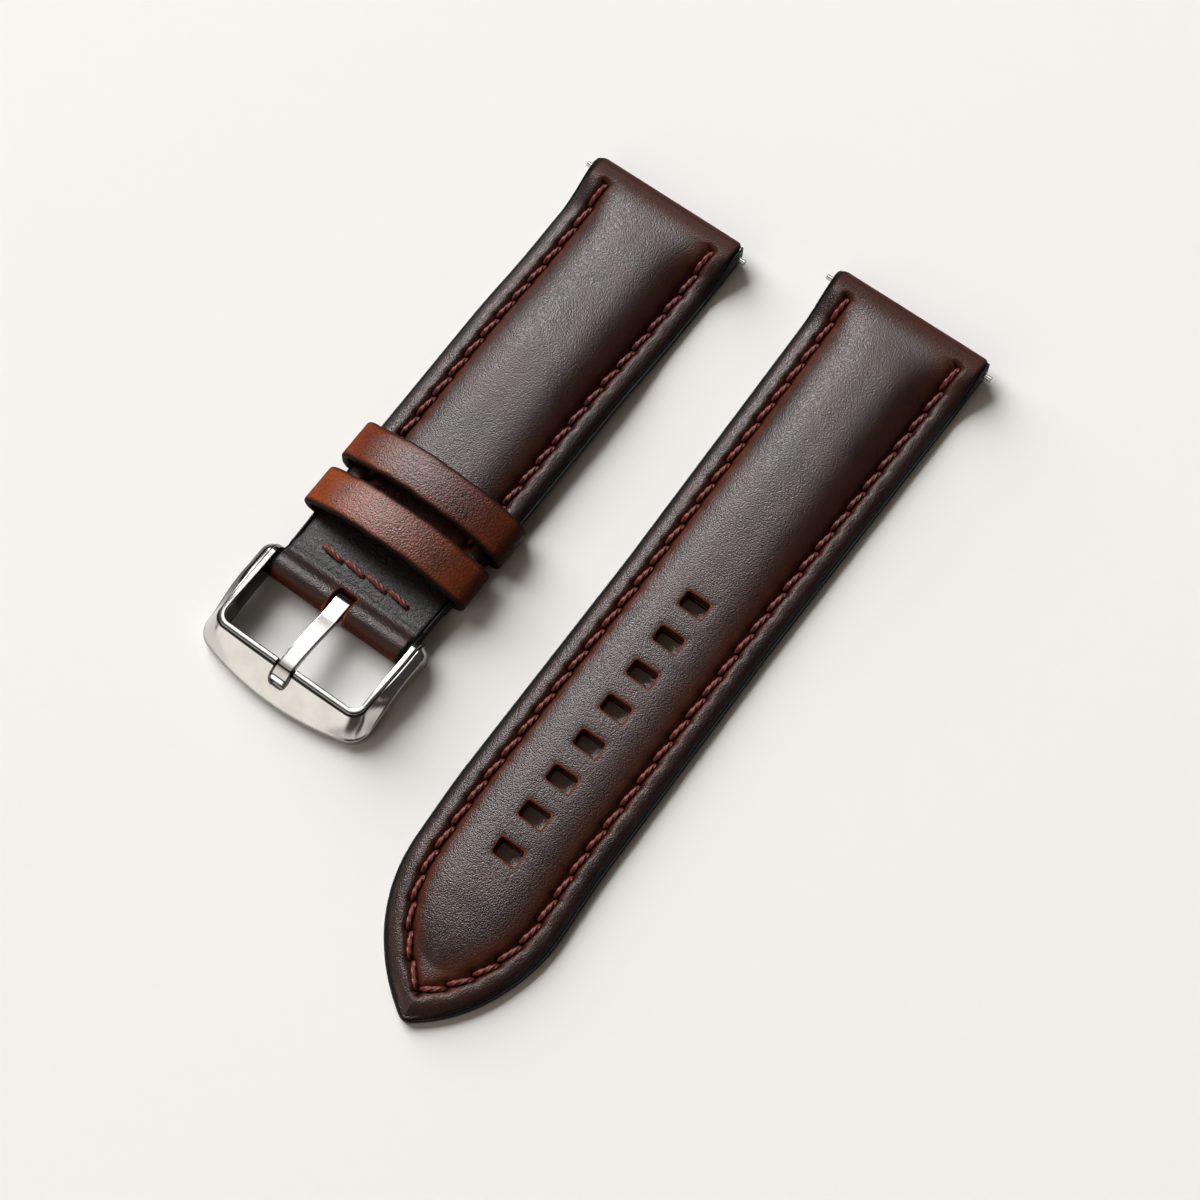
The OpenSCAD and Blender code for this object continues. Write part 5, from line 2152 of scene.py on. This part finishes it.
def make_finishes() -> dict[str, Material]:
    """All finishes of the strap, by plain name.

    Returns:
        The materials.
    """
    plans = {
        "upper": UpperFinish(),
        "lining": LiningFinish(),
        "free": KeeperFinish(),
        # The fixed keeper's copy is lighter throughout: a painted highlight for its brighter sheen.
        "fixed": KeeperFinish("fixed_keeper_leather_painted_brighter", "4a1d0c", "6a2c12", "80380f"),
        "thread": ThreadFinish(),
        "filler": PlainFinish("felted_filler", "8a7256", "a58c6c", 0.85, 0.06, 4.0, cut="33160e"),
        "paint": PlainFinish("edge_paint", "0d0908", "170e0b", 0.55, 0.05, 1.2, gloss=0.25),
        "polished": SteelFinish(),
        "turned": PlainFinish("turned_bar_steel", "a9a7a4", "cbc9c6", 0.24, 0.003, 6.0, 1.0,
                              (6.0, 0.6, 6.0)),
        "wire": PlainFinish("drawn_spring_wire", "8d8b88", "b5b3b0", 0.3, 0.02, 2.0, 1.0,
                            (0.4, 6.0, 0.4)),
    }
    return {name: plan.material() for name, plan in plans.items()}


def build_long(finishes: dict[str, Material]) -> None:
    """Builds the long half.

    Args:
        finishes: All finishes, by plain name.
    """
    half = LongHalf(x0=-58.5, y0=18.5, length=117.0, stitch_pitch=3.6146, stitch_count=31,
                    bend_start=8.0, bend_end=44.0, lining_end=117.0, padding_end=106.0,
                    last_len=3.45, name="long")
    work = LeatherWork(half, finishes)
    holes = half.openings()
    work.upper(holes)
    work.lining(holes)
    work.padding(holes)
    work.stitches(Row.LEFT, ["stitching_lug_end", "stitching"])
    work.stitches(Row.RIGHT, [])
    s = work.edge_stations(half.tip_s0, half.point_rows(70))
    w, shift = half.half_width(s), half.side_shift(s)
    low, high = work.side_heights(s)
    x, y, low, high = (np.concatenate([out, back[::-1]]) for out, back in
                       ((s, s), (w + shift, shift - w), (low, low), (high, high)))
    work.bent("painted_edge", work.painted_edge(x, y, low, high), "paint")


def build_short(finishes: dict[str, Material]) -> ShortHalf:
    """Builds the short half with its keepers.

    Args:
        finishes: All finishes, by plain name.

    Returns:
        The half, which carries the buckle.
    """
    half = ShortHalf(x0=-53.5, y0=-18.5, length=76.5, stitch_pitch=3.6, stitch_count=15,
                     bend_start=6.0, bend_end=22.0, lining_end=59.15, padding_end=55.5,
                     name="short")
    work = LeatherWork(half, finishes)
    work.upper([half.slot()])
    work.lining([])
    work.padding([])
    for row in Row:
        side = row.name.lower()
        work.stitches(row, [f"stitching_{side}_lug_end", f"stitching_{side}"])
    end, fold = half.bar_s + half.fold_r, half.fold
    s = work.edge_stations(half.crease_s, np.linspace(half.crease_s, end - 0.3, 30))
    low, high = work.side_heights(s)
    over = fold["p"] < half.slot().p
    top = np.interp(s, fold["xo"][over], fold["zo"][over])
    flap = np.interp(s, fold["xo"][~over][::-1], fold["zo"][~over][::-1])
    inside = np.clip((end - s) / 0.6, 0, 1)
    high = np.where(s > half.crease_s, top - 0.4 * inside, high)
    low = np.where(s > half.flap_end_s, flap + 0.25 * inside, low)
    beads = [work.painted_edge(s[::sign], sign * half.half_width(s)[::sign], low[::sign],
                               high[::sign]) for sign in (1, -1)]
    work.bent("painted_edge", joined(beads), "paint")
    CrossStitches(half, finishes["thread"]).build()
    Keeper(half, finishes["free"], "free_keeper", "free_keeper", half.free_keeper_s, 0.0, 0.85,
           0.4).build()
    Keeper(half, finishes["fixed"], "fixed_keeper", "short_strap", half.fixed_keeper_s, 1.2, 0.7,
           2.1).build()
    return half


def main() -> None:
    """Builds the strap round its frame, in order."""
    logging.basicConfig(level=logging.INFO, format="%(name)s: %(message)s")
    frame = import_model()
    finishes = make_finishes()
    build_long(finishes)
    short = build_short(finishes)
    buckle = Buckle(short, finishes["polished"])
    buckle.frame()
    buckle.tongue()
    dress_bars(frame["nodes"], finishes)
    Studio().build()


if __name__ == "__main__":
    main()
